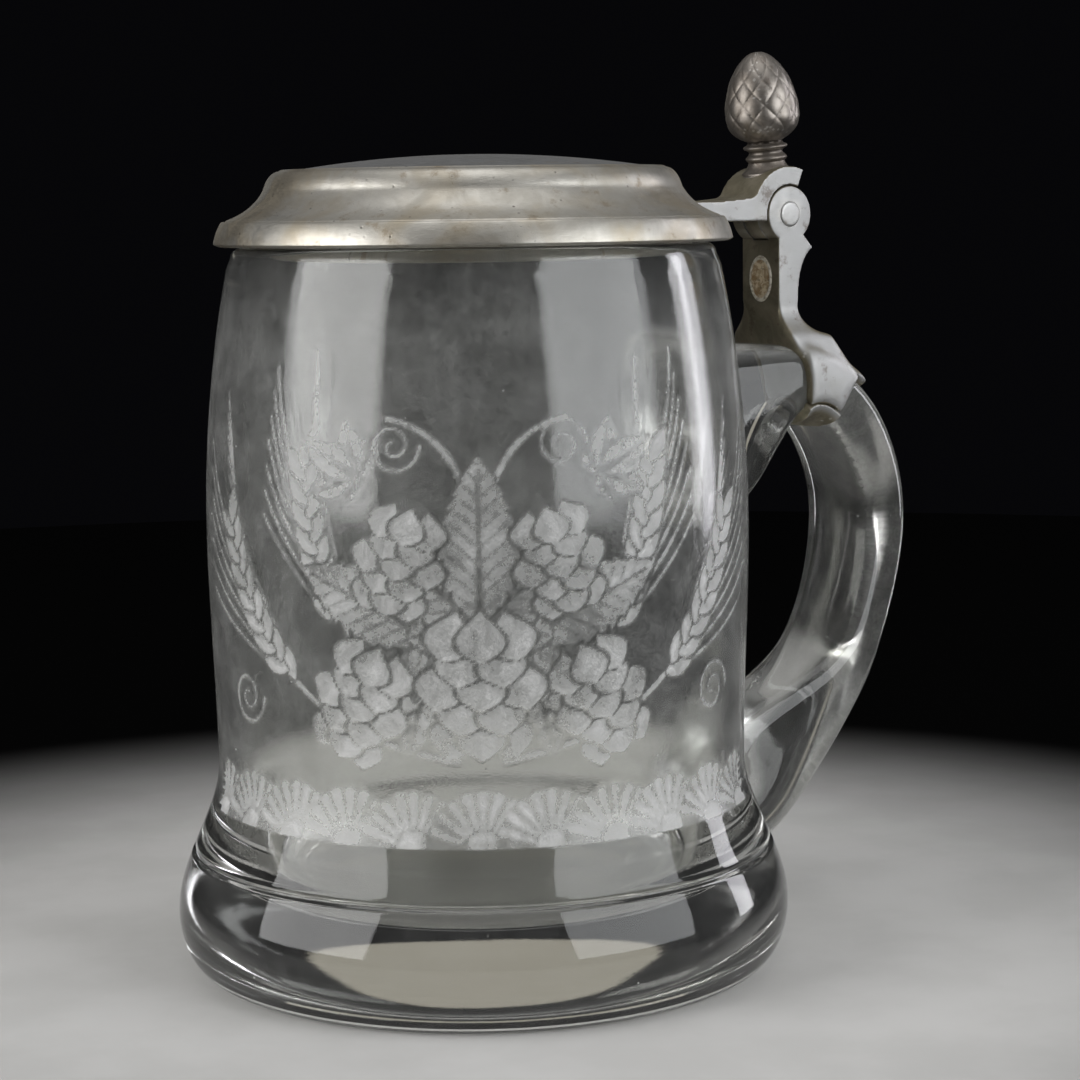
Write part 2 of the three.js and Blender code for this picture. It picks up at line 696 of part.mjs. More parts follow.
function thumblift() {
  const leaned = new THREE.Matrix4().makeRotationY(-radians(THUMB_LEAN));
  const placed = new THREE.Matrix4().makeTranslation(HINGE_X, 0, HINGE_Z).multiply(leaned);
  const arch = solidOf(hingeCylinder(ARCH_RADIUS + SEAT_GAP, 2 * HINGE_WIDTH));
  return solidOf(coneGeometry().applyMatrix4(placed))
    .add(solidOf(neckGeometry().applyMatrix4(placed)))
    .subtract(arch);
}

// Materials and the assembly

const clearGlass = new THREE.MeshStandardMaterial({
  color: 0xdfe4e2,
  roughness: 0.05,
  metalness: 0,
  transparent: true,
  opacity: 0.4,
});
const castPewter = new THREE.MeshStandardMaterial({ color: 0x9d988e, roughness: 0.42, metalness: 1 });
const brightPewter = new THREE.MeshStandardMaterial({ color: 0xc4c3bf, roughness: 0.38, metalness: 1 });
const darkPewter = new THREE.MeshStandardMaterial({ color: 0x6e665e, roughness: 0.45, metalness: 1 });

function piece(name, geometry, material) {
  const mesh = new THREE.Mesh(geometry, material);
  mesh.name = name;
  return mesh;
}

const mug = new THREE.Group();
mug.add(piece("glass_body", glassBody(), clearGlass));
mug.add(piece("glass_handle", geometryOf(glassHandle()), clearGlass));
mug.add(piece("hinge_shank", geometryOf(hingeShank()), brightPewter));
mug.add(piece("handle_strap", geometryOf(handleStrap()), brightPewter));
const pin = piece("hinge_pin", hingePin(), brightPewter);
pin.position.set(HINGE_X, 0, HINGE_Z);
mug.add(pin);

const lid = new THREE.Group();
lid.add(piece("lid_shell", lidShell(), castPewter));
lid.add(piece("lid_dome", lidDome(), darkPewter));
lid.add(piece("lid_tang", geometryOf(lidTang()), brightPewter));
lid.add(piece("thumblift", geometryOf(thumblift()), darkPewter));

const stein = new THREE.Group();
stein.add(mug, lid);

export default stein;
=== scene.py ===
"""Glass beer stein with a hinged pewter lid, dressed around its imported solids."""
from math import acos, asin, atan2, copysign, cos, degrees, pi, radians, sin, sqrt

import bmesh
import bpy
import numpy as np
from mathutils import Matrix, Vector


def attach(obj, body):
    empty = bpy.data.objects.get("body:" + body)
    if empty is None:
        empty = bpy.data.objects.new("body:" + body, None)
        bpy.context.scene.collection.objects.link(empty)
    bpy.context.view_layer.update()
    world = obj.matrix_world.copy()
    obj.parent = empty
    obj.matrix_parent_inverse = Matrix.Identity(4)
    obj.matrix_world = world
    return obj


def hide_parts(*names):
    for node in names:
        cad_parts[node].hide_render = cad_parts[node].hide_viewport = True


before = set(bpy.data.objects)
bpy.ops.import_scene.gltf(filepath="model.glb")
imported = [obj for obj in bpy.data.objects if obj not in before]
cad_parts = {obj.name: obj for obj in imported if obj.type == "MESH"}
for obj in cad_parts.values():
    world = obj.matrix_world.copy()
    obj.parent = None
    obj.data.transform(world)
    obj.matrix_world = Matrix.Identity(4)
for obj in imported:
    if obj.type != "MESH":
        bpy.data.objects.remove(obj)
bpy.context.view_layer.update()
scene = bpy.context.scene

# Sizes in millimetres: those of the part's source, and finer ones for what is only seen
MM = 0.001
RIM_HEIGHT, RIM_RADIUS = 128.0, 42.8
BELLY_HEIGHT, BELLY_RADIUS = 78.0, 48.2
WAIST_HEIGHT, WAIST_RADIUS = 37.0, 47.2
FOOT_HEIGHT, FOOT_RADIUS, BASE_RADIUS = 10.5, 55.0, 49.0
WALL, FLOOR_THICKNESS, FLOOR_ROUNDING = 3.6, 13.0, 9.0
RING_HEIGHT, RING_DEPTH, RING_WIDTH = 21.5, 0.5, 1.4
HINGE_X, HINGE_Z = 69.3, 132.4
HANDLE_WIDTH, HANDLE_THICKNESS, TAIL_WIDTH = 20.5, 11.5, 15.0
SECTION_POWER = 3.6
# Middle line of the handle: distance from the axis, height, thickness, width
HANDLE_STATIONS = [
    (44.0, 93.0, 31.0, HANDLE_WIDTH),
    (53.0, 93.0, 31.0, HANDLE_WIDTH),
    (72.0, 100.85, HANDLE_THICKNESS, HANDLE_WIDTH),
    (84.4, 92.5, HANDLE_THICKNESS, HANDLE_WIDTH),
    (91.15, 75.0, HANDLE_THICKNESS, HANDLE_WIDTH),
    (84.0, 47.5, HANDLE_THICKNESS, HANDLE_WIDTH),
    (61.8, 25.8, 25.0, TAIL_WIDTH),
    (46.3, 10.3, 14.0, TAIL_WIDTH),
]
HANDLE_START, HANDLE_ROWS, HANDLE_COLUMNS = 45.9, 110, 48
ROOT_SPREAD, ROOT_NEAR, ROOT_REACH, ROOT_CURVE = 3.0, 3.0, 9.5, 1.5
LID_BOTTOM, LID_RADIUS, LIP_HEIGHT = 128.3, 45.7, 0.8
BAND_TOP, BAND_SLANT, GROOVE_DEPTH = 132.5, 1.5, 0.6
SHOULDER_TOP, SHOULDER_WIDTH = 141.1, 2.6
HOLLOW_HEIGHT, HOLLOW_SWEEP = 5.4, 1.9
DOME_RADIUS, DOME_RISE, DOME_THICKNESS, DOME_SEAT = 32.8, 2.7, 1.8, 3.0
BEAD_WIDTH, BEAD_HEIGHT, LID_SHELL = 1.4, 0.4, 2.2
FLANGE_OUTER, FLANGE_INNER, FLANGE_DEPTH = 38.5, 36.7, 3.0
KNUCKLE_RADIUS, PIN_RADIUS, PIN_PROUD = 5.3, 2.35, 0.25
HINGE_WIDTH, MIDDLE_KNUCKLE, HINGE_GAP = 10.8, 4.0, 0.3
CLEAR_RADIUS, ARCH_RADIUS, ARCH_END, ARCH_FOOT = 5.6, 9.0, 68.0, 152.0
STOP_ANGLE, STOP_RADIUS = -48.0, 8.6
BAR_RISE, BAR_THICKNESS, BAR_END = 2.5, 3.7, 33.7
STEM_INNER, STEM_OUTER, STEM_THICKNESS = 66.6, 71.4, 4.8
STEM_FOOT, STEM_FLARE, STEM_SPREAD = 108.4, 8.0, 5.6
TOE_SHOULDER, TOE_RISE, TOE_REACH, TOE_DROP = 8.0, 1.3, 12.5, 7.5
STRAP_OFFSET, STRAP_LENGTH, STRAP_TAIL = -0.3, 11.0, 4.0
STRAP_TAIL_ANGLE, STRAP_THICKNESS, STRAP_SEAM = 62.0, 1.5, 112.0
SEAT_GAP, SEAM_GAP = 0.3, 2.6
THUMB_LEAN, NECK_HEIGHT, NECK_RADIUS = 6.6, 4.4, 3.4
COLLAR_RADIUS, COLLAR_HEIGHT, NECK_FOOT = 4.1, 1.1, 5.0
CONE_RADIUS, CONE_HEIGHT, CONE_WIDEST = 6.8, 17.4, 0.32
CONE_FLAT, CONE_BASE_ROUNDING, CONE_TAPER, CONE_TIP_ROUNDING = 0.01, 2.2, 1.85, 0.55
SCALES_AROUND, SCALE_ROWS, SCALE_RELIEF, SCALE_FLATNESS = 10, 3.5, 0.3, 0.3
CONE_COLUMNS, CONE_ROWS, THROAT = 240, 150, 0.15
OVAL_HEIGHT, OVAL_HALF_WIDTH, OVAL_HALF_HEIGHT = 120.2, 3.2, 4.4
# The oval's rim and plate, as a share of its size and a height over the shank
OVAL_PROFILE = [(1.0, -0.25), (1.0, 0.1), (0.96, 0.24), (0.88, 0.24), (0.83, 0.1), (0.6, 0.13), (0.3, 0.15)]

# Casting: voxel and rounds of smoothing of the pewter, and how deep a cut piece is sunk before it is cut
ARM_VOXEL, MOUNT_VOXEL, CAST_ROUNDS, BLEND_ROUNDS = 0.2, 0.22, 5, 200
SADDLE_SINK, BAND_SINK, CUT_CLEARANCE, MOUNT_START = 1.2, 1.0, 0.06, 50
SHARP = 0.01

# Faint matt bloom on clear glass, from 0 for clear to 1 for fully matt; the edge bloom makes a pale matt band
# along the handle's outer edge, partly bloom and partly a painted highlight
FRONT_BLOOM, BACK_BLOOM, HANDLE_BLOOM, EDGE_HIGHLIGHT_BLOOM, FOOT_BLOOM = 0.19, 0.3, 0.05, 0.24, 0.05
BLOOM_LOW, BLOOM_FULL, BLOOM_FADE, BLOOM_FADE_SHARE = 26, 40, 112, 0.6
BLOOM_HANDLE_NEAR, BLOOM_HANDLE_FAR = 0.3, 0.7
# Near and far reach in mm of the painted highlight band from the handle's outer edge, and how close to the
# body's outer surface a point counts as outside
HIGHLIGHT_NEAR, HIGHLIGHT_FAR, SKIN = 0.6, 3.4, 0.8

# The photograph's camera
CAMERA_PLACE = (-272.85, -394.25, 135.46)
CAMERA_TURN, CAMERA_TILT, CAMERA_ROLL = radians(36), radians(7.15), radians(0.78)
CAMERA_LENS, CAMERA_SENSOR = 90.02, 36.0
FRONT = atan2(CAMERA_PLACE[1], CAMERA_PLACE[0])


# Meshes

def mesh_object(name, points, faces):
    mesh = bpy.data.meshes.new(name)
    mesh.from_pydata((np.asarray(points, float) * MM).tolist(), [], faces)
    mesh.update()
    made = bpy.data.objects.new(name, mesh)
    scene.collection.objects.link(made)
    face_outward(made)
    return made


def face_outward(obj):
    work = bmesh.new()
    work.from_mesh(obj.data)
    bmesh.ops.remove_doubles(work, verts=work.verts, dist=1e-7)
    caps = [face for face in work.faces if len(face.verts) > 4]
    bmesh.ops.triangulate(work, faces=caps, ngon_method="EAR_CLIP")
    bmesh.ops.recalc_face_normals(work, faces=work.faces)
    work.to_mesh(obj.data)
    work.free()
    obj.data.update()


def bake(obj):
    """The mesh with its modifiers becomes the object's own mesh."""
    graph = bpy.context.evaluated_depsgraph_get()
    made = bpy.data.meshes.new_from_object(obj.evaluated_get(graph))
    old = obj.data
    obj.modifiers.clear()
    obj.data = made
    bpy.data.meshes.remove(old)
    made.name = obj.name
    return obj


def combine(target, other, operation):
    step = target.modifiers.new(operation, "BOOLEAN")
    step.operation = operation
    step.object = other
    step.solver = "MANIFOLD"
    bake(target)
    bpy.data.objects.remove(other)
    return target


def remeshed(obj, voxel, rounds):
    step = obj.modifiers.new("remesh", "REMESH")
    step.mode = "VOXEL"
    step.voxel_size = voxel * MM
    bake(obj)
    return softened(obj, rounds)


def softened(obj, rounds, weight=None):
    """Smooths a mesh, everywhere or by a weight from 0 to 1 at each point."""
    soft = obj.modifiers.new("smooth", "SMOOTH")
    soft.factor = 0.5
    soft.iterations = rounds
    if weight is not None:
        group = obj.vertex_groups.new(name="soft")
        for v in obj.data.vertices:
            group.add([v.index], weight(v.co / MM), "REPLACE")
        soft.vertex_group = group.name
    bake(obj)
    obj.vertex_groups.clear()
    return obj


def smooth_shaded(obj, angle=None):
    obj.data.shade_smooth()
    if angle is not None:
        obj.data.set_sharp_from_angle(angle=radians(angle))
    return obj


def ring_faces(low, high):
    """Faces between two rings of the same count, with a repeated point dropped."""
    count = len(low)
    faces = []
    for i in range(count):
        j = (i + 1) % count
        face = list(dict.fromkeys((low[i], low[j], high[j], high[i])))
        if len(face) > 2:
            faces.append(face)
    return faces


def zipped_faces(low, low_turns, high, high_turns):
    """Triangles between two rings of different counts that start at the same turn."""
    faces = []
    i = j = 0
    low_next = list(low_turns[1:]) + [low_turns[0] + 2 * pi]
    high_next = list(high_turns[1:]) + [high_turns[0] + 2 * pi]
    while i < len(low) or j < len(high):
        a, b = low[i % len(low)], high[j % len(high)]
        if j >= len(high) or (i < len(low) and low_next[i] <= high_next[j]):
            faces.append((a, low[(i + 1) % len(low)], b))
            i += 1
        else:
            faces.append((a, high[(j + 1) % len(high)], b))
            j += 1
    return faces


def stack_faces(rows):
    return [face for low, high in zip(rows, rows[1:]) for face in ring_faces(low, high)]


def around(count):
    return np.linspace(0, 2 * pi, count, endpoint=False)


def end_fans(first, last, top):
    """Triangles that close the first ring onto point 0 and the last ring onto the point top."""
    faces = [(0, b, a) for a, b in zip(first, first[1:] + first[:1])]
    return faces + [(top, a, b) for a, b in zip(last, last[1:] + last[:1])]


def lathe(name, profile, steps, closed=False):
    """A profile of (radius, height) turned round the Z axis."""
    turns = around(steps)
    points, rows = [], []
    for radius, height in profile:
        start = len(points)
        if radius < 1e-6:
            points.append((0, 0, height))
            rows.append([start] * steps)
        else:
            points += [(radius * cos(t), radius * sin(t), height) for t in turns]
            rows.append(list(range(start, start + steps)))
    return mesh_object(name, points, stack_faces(rows + rows[:1] if closed else rows))


def loft(name, rings):
    """A skin over rings of points of the same count, with both ends closed."""
    count = len(rings[0])
    points = [p for ring in rings for p in ring]
    rows = [list(range(k * count, (k + 1) * count)) for k in range(len(rings))]
    return mesh_object(name, points, stack_faces(rows) + [rows[0][::-1], rows[-1]])


def quadratic(a, b, c, steps):
    t = np.linspace(0, 1, steps + 1)[:, None]
    a, b, c = (np.asarray(p, float) for p in (a, b, c))
    return [tuple(p) for p in (1 - t) ** 2 * a + 2 * t * (1 - t) * b + t ** 2 * c]


def arc(centre, radius, first, last, steps):
    turns = np.radians(np.linspace(first, last, steps + 1))
    return [(centre[0] + radius * cos(t), centre[1] + radius * sin(t)) for t in turns]


def rounded(outline, radius, steps=4, limit=14.0, closed=False):
    """A line of points with each corner sharper than limit degrees replaced by a small curve."""
    points = [np.asarray(p, float) for p in outline]
    made = []
    for k, point in enumerate(points):
        if not closed and k in (0, len(points) - 1):
            made.append(tuple(point))
            continue
        before, after = points[k - 1], points[(k + 1) % len(points)]
        way_in, way_out = point - before, after - point
        room_in, room_out = np.linalg.norm(way_in), np.linalg.norm(way_out)
        if min(room_in, room_out) < 1e-6:
            continue
        bend = degrees(acos(np.clip(way_in @ way_out / (room_in * room_out), -1, 1)))
        if bend < limit:
            made.append(tuple(point))
            continue
        start = point - way_in / room_in * min(radius, room_in * 0.45)
        end = point + way_out / room_out * min(radius, room_out * 0.45)
        made += quadratic(start, point, end, steps)
    return made


def inset(outline, amount):
    """A closed outline moved inwards, for an outline that runs counter-clockwise."""
    points = np.asarray(outline, float)
    way = np.roll(points, -1, axis=0) - points
    way /= np.linalg.norm(way, axis=1)[:, None]
    normal = np.stack([-way[:, 1], way[:, 0]], axis=1)
    both = normal + np.roll(normal, 1, axis=0)
    both /= np.maximum((both * normal).sum(1), 0.3)[:, None]
    return points + both * amount


def slab(name, outline, width, rounding, steps=3):
    """An outline in the XZ plane as a plate of that width along Y with rounded edges."""
    area = sum(a[0] * b[1] - b[0] * a[1] for a, b in zip(outline, outline[1:] + outline[:1]))
    outline = outline if area > 0 else outline[::-1]
    rings = []
    for side in (-1, 1):
        turns = np.linspace(0, pi / 2, steps + 1)
        turns = turns if side < 0 else turns[::-1]
        for t in turns:
            shape = inset(outline, rounding * (1 - sin(t)))
            y = side * (width / 2 - rounding * (1 - cos(t)))
            rings.append([(x, y, z) for x, z in shape])
    return loft(name, rings)


def rod(name, radius, width, steps=64):
    """A round bar along the hinge axis."""
    return slab(name, arc((HINGE_X, HINGE_Z), radius, 0, 360 - 360 / steps, steps - 1), width, SHARP, 1)


def smoothstep(value, low, high):
    share = np.clip((np.asarray(value, float) - low) / (high - low), 0, 1)
    return share * share * (3 - 2 * share)


def mix(a, b, share):
    return a + (b - a) * share


# Glass body

def body_radius(z):
    z = np.asarray(z, float)
    drop = np.clip((FOOT_HEIGHT - z) / FOOT_HEIGHT, 0, 1)
    foot = BASE_RADIUS + (FOOT_RADIUS - BASE_RADIUS) * np.sqrt(1 - drop * drop)
    flare = mix(FOOT_RADIUS, WAIST_RADIUS, smoothstep(z, FOOT_HEIGHT, WAIST_HEIGHT))
    waist = mix(WAIST_RADIUS, BELLY_RADIUS, smoothstep(z, WAIST_HEIGHT, BELLY_HEIGHT))
    rise = (z - BELLY_HEIGHT) / (RIM_HEIGHT - BELLY_HEIGHT)
    wall = BELLY_RADIUS - (BELLY_RADIUS - RIM_RADIUS) * rise * rise
    return np.select([z < FOOT_HEIGHT, z < WAIST_HEIGHT, z < BELLY_HEIGHT], [foot, flare, waist], wall)


def cut_ring(z):
    """Depth of the ring that is cut round the flare of the foot."""
    return RING_DEPTH * np.clip(1 - np.abs(np.asarray(z) - RING_HEIGHT) / (RING_WIDTH / 2), 0, 1)


# The cut design lies on the side that faces the camera: s runs round the body, z up
DESIGN_LOW, DESIGN_HIGH, DESIGN_HALF = 29.0, 112.0, radians(72)
DESIGN_RADIUS = 48.0
EDGE = 0.45
CUT_SHARE = 0.4
FAN_PITCH, FAN_FOOT, FAN_RADIUS, FAN_EYE = 11.6, 30.6, 9.6, 2.7
TOOTH_PITCH, TOOTH_DEPTH, VEIN_PITCH = 2.6, 0.2, 2.7
HOP_ROWS, EAR_GRAINS, GRAIN_ANGLE = 5, 15, 27
OUTSIDE = -1.0
# Finishes of the cut: matt strength, depth
GROUND, RIB, VEIN, FAN_GROUND, FAN_HEART = (0.1, 0.0), (0.22, 0.02), (0.38, 0.06), (0.42, 0.04), (0.9, 0.24)
LEAF, BRACT, GRAIN, STALK = (0.82, 0.3), (0.92, 0.34), (0.95, 0.32), (0.9, 0.16)
BEARD, CURL, STEM_CUT, FAN_STROKE = (0.7, 0.1), (0.75, 0.12), (0.8, 0.14), (0.92, 0.18)
# Rings of the glass body: turns between points, height between rows, and the under side of the foot
FINE_STEP, BACK_STEP, ROW_STEP = radians(0.52), radians(2.5), 0.44
PLAIN_COLUMNS, FOOT_ROWS, RING_ROWS, TOP_ROWS, RIM_ROWS, INNER_ROWS, CORNER_ROWS = 144, 18, 7, 8, 9, 36, 10
FOOT_HOLLOW = 0.9
FOOT_UNDERSIDE = [(8, FOOT_HOLLOW), (24, FOOT_HOLLOW), (35, 0.8), (38.5, 0.6),
                  (41, 0.1), (43, 0.0), (46, 0.0), (48.4, 0.0)]
INNER_FLOOR_RADII = (28, 20, 12, 5)


def unit(turn):
    return np.array([cos(turn), sin(turn)])


class Design:
    """Matt strength and depth of cut at a set of places, built up shape by shape."""

    def __init__(self, s, z):
        self.s, self.z = s, z
        self.frost = np.zeros(len(s))
        self.depth = np.zeros(len(s))

    def near(self, s, z, reach):
        return np.nonzero((np.abs(self.s - s) < reach) & (np.abs(self.z - z) < reach))[0]

    def lay(self, where, inside, level, depth):
        cover = smoothstep(inside, -EDGE, EDGE)
        self.frost[where] += (level - self.frost[where]) * cover
        self.depth[where] += (depth - self.depth[where]) * cover

    def local(self, where, s, z, angle):
        ds, dz = self.s[where] - s, self.z[where] - z
        c, n = cos(radians(angle)), sin(radians(angle))
        return ds * c + dz * n, dz * c - ds * n

    def stroke(self, line, first, last, finish):
        """A line of points whose half width runs from first to last."""
        line = np.asarray(line, float)
        centre, reach = line.mean(0), np.abs(line - line.mean(0)).max() + 2
        where = self.near(centre[0], centre[1], reach)
        if len(where) == 0:
            return
        p = np.stack([self.s[where], self.z[where]], 1)
        best = np.full(len(where), -9.0)
        count = len(line) - 1
        for k in range(count):
            a, b = line[k], line[k + 1]
            way = b - a
            share = np.clip(((p - a) @ way) / (way @ way), 0, 1)
            away = np.linalg.norm(p - a - share[:, None] * way, axis=1)
            half = mix(first, last, (k + share) / count)
            best = np.maximum(best, half - away)
        self.lay(where, best, *finish)

    def petal(self, s, z, angle, length, width, finish, teeth=0.0, veins=0.0, belly=0.8, gap=0.6):
        """A pointed oval from its root, with a clear gap round it; one side of its middle is painted brighter
        than the other as facet shading, and it is less matt towards its edges.
        """
        level, depth = finish
        where = self.near(s, z, length + 1)
        if len(where) == 0:
            return
        u, v = self.local(where, s, z, angle)
        share = np.clip(u / length, 0, 1)
        half = width / 2 * np.sin(pi * share ** belly) ** 0.85
        if teeth:
            half = half * (1 - teeth * ((share * length / TOOTH_PITCH) % 1.0))
        inside = np.where((u > -0.3) & (u < length), half - np.abs(v), OUTSIDE)
        self.lay(where, inside + gap, *GROUND)
        slope = np.clip(1 - np.abs(v) / np.maximum(half, 0.05), 0, 1)
        # Painted facet shading: one half of the oval is less matt than the other; the matt strength also
        # falls off from the middle line towards the edges
        tone = level * (0.86 + 0.14 * slope) * np.where(v > 0, 1.0, 0.86)
        self.lay(where, inside, tone, depth * (0.3 + 0.7 * slope))
        if veins:
            rib = 0.5 * (1 - share) + 0.22 - np.abs(v)
            rib = np.where((u > 0) & (share < 0.93), rib, OUTSIDE)
            self.lay(where, np.minimum(rib, inside), *RIB)
            phase = ((u - 0.85 * np.abs(v)) / veins) % 1.0
            side = 0.3 - np.abs(phase - 0.5) * veins
            side = np.where(np.abs(v) < 0.82 * half, side, OUTSIDE)
            self.lay(where, np.minimum(side, inside), *VEIN)

    def leaf(self, s, z, angle, size):
        """A hop leaf of five toothed lobes, the middle one on top."""
        for turn, share in ((102, 0.46), (-102, 0.46), (52, 0.8), (-52, 0.8), (0, 1.0)):
            self.petal(s, z, angle + turn, size * share, size * 0.52 * (0.6 + 0.4 * share),
                       LEAF, teeth=TOOTH_DEPTH, veins=VEIN_PITCH)

    def hop(self, s, z, angle, length, width):
        """A hop cone that hangs from a point: rows of bracts, the upper ones over the lower ones."""
        c, n = cos(radians(angle)), sin(radians(angle))
        for row in range(HOP_ROWS - 1, -1, -1):
            along = length * (-0.04 + 0.7 * row / (HOP_ROWS - 1))
            spread = width * 0.52 * sin(pi * (0.24 + 0.56 * row / (HOP_ROWS - 1)))
            for place in ((-0.5, 0.5) if row % 2 else (-0.96, 0.96, 0.0)):
                off = spread * place * 0.72
                self.petal(s + along * c - off * n, z + along * n + off * c, angle + 16 * place,
                           length * 0.38, width * 0.52, BRACT, belly=1.35, gap=0.65)

    def barley(self, line, ear_from, awn):
        """A stalk along a line with an ear of paired grains and long beards at its end."""
        t = np.linspace(0, 1, 41)
        a, b, c = (np.asarray(p, float) for p in line)
        path = (1 - t)[:, None] ** 2 * a + (2 * t * (1 - t))[:, None] * b + (t ** 2)[:, None] * c
        self.stroke(path[t <= ear_from + 0.03], 0.62, 0.42, STALK)
        for k in range(EAR_GRAINS):
            share = mix(ear_from, 0.97, k / (EAR_GRAINS - 1))
            at = (1 - share) ** 2 * a + 2 * share * (1 - share) * b + share ** 2 * c
            way = 2 * (1 - share) * (b - a) + 2 * share * (c - b)
            heading = degrees(atan2(way[1], way[0]))
            side = 1 if k % 2 else -1
            tip = at + 5.6 * unit(radians(heading + side * GRAIN_ANGLE))
            lean = radians(heading + side * (15 - 9 * k / EAR_GRAINS))
            end = tip + awn * (1 - 0.25 * k / EAR_GRAINS) * unit(lean)
            middle = (tip + end) / 2 + 0.06 * awn * np.array([-sin(lean), cos(lean)]) * side
            self.stroke(quadratic(tip, middle, end, 5), 0.42, 0.3, BEARD)
            self.petal(at[0], at[1], heading + side * GRAIN_ANGLE, 6.6, 3.1, GRAIN, belly=0.9, gap=0.5)

    def tendril(self, s, z, radius, turns, hand):
        t = np.linspace(0, 1, 40)
        r = radius * (1 - 0.88 * t)
        a = hand * 2 * pi * turns * t
        self.stroke(np.stack([s + r * np.cos(a), z + r * np.sin(a)], 1), 0.36, 0.18, CURL)

    def fan(self, s, z, radius):
        """One scallop of the lower border: a pale ground with strokes that spread from its foot."""
        where = self.near(s, z, radius + 1)
        away = np.hypot(self.s[where] - s, self.z[where] - z)
        above = self.z[where] > z - 0.2
        self.lay(where, np.where(above, radius - away, OUTSIDE), *FAN_GROUND)
        for turn in range(-72, 73, 18):
            c, n = sin(radians(turn)), cos(radians(turn))
            self.stroke([(s + 3.6 * c, z + 3.6 * n), (s + (radius - 1.1) * c, z + (radius - 1.1) * n)],
                        0.34, 0.72, FAN_STROKE)
        self.lay(where, np.where(above, FAN_EYE - away, OUTSIDE), *FAN_HEART)


def engraving(s, z):
    """Matt strength and depth of the cut design: hops and barley over a scalloped border."""
    made = Design(s, z)
    for k in range(-5, 6):
        made.fan(k * FAN_PITCH, FAN_FOOT, FAN_RADIUS)
    for hand in (-1, 1):
        made.barley([(hand * 4, 45), (hand * 40, 50), (hand * 51, 84)], 0.5, 22)
        made.barley([(hand * 3, 46), (hand * 28, 60), (hand * 31, 95)], 0.52, 18)
        made.tendril(hand * 47, 53, 5.0, 1.8, hand)
        made.stroke(quadratic((hand, 84), (hand * 3, 99), (hand * 15, 101), 10), 0.6, 0.45, STEM_CUT)
        made.tendril(hand * 14, 96.6, 4.6, 1.7, hand)
        made.leaf(hand * 21, 92, 90 - hand * 62, 11)
        made.leaf(hand * 9, 58, 90 - hand * 112, 16)
        made.leaf(hand * 8, 66, 90 - hand * 66, 25)
    made.leaf(0, 68, 90, 27)
    for hand in (-1, 1):
        made.hop(hand * 17, 63, 270 + hand * 24, 19, 13)
        made.hop(hand * 11, 86, 270 + hand * 16, 17, 11.5)
    made.hop(0, 69, 270, 23, 15.5)
    return made.frost, made.depth


def haze(turn, z):
    """A faint bloom over the middle of the body, stronger on the side away from the design."""
    away = np.abs((turn - FRONT + pi) % (2 * pi) - pi)
    level = mix(FRONT_BLOOM, BACK_BLOOM, smoothstep(away, DESIGN_HALF * 0.85, DESIGN_HALF * 1.25))
    from_handle = np.abs((turn + pi) % (2 * pi) - pi)
    level = level * smoothstep(from_handle, BLOOM_HANDLE_NEAR, BLOOM_HANDLE_FAR)
    rise = smoothstep(z, BLOOM_LOW, BLOOM_FULL)
    level = level * rise * (1 - BLOOM_FADE_SHARE * smoothstep(z, BLOOM_FADE, RIM_HEIGHT))
    return np.maximum(level, FOOT_BLOOM * (1 - rise))


def design_at(x, y, z):
    """Matt strength and depth at points on the outer side of the body."""
    turn = np.arctan2(y, x)
    off = (turn - FRONT + pi) % (2 * pi) - pi
    frost, depth = np.zeros(len(z)), np.zeros(len(z))
    inside = (np.abs(off) < DESIGN_HALF) & (z > DESIGN_LOW) & (z < DESIGN_HIGH)
    frost[inside], depth[inside] = engraving(off[inside] * DESIGN_RADIUS, z[inside])
    return np.maximum(frost, haze(turn, z)), depth * CUT_SHARE


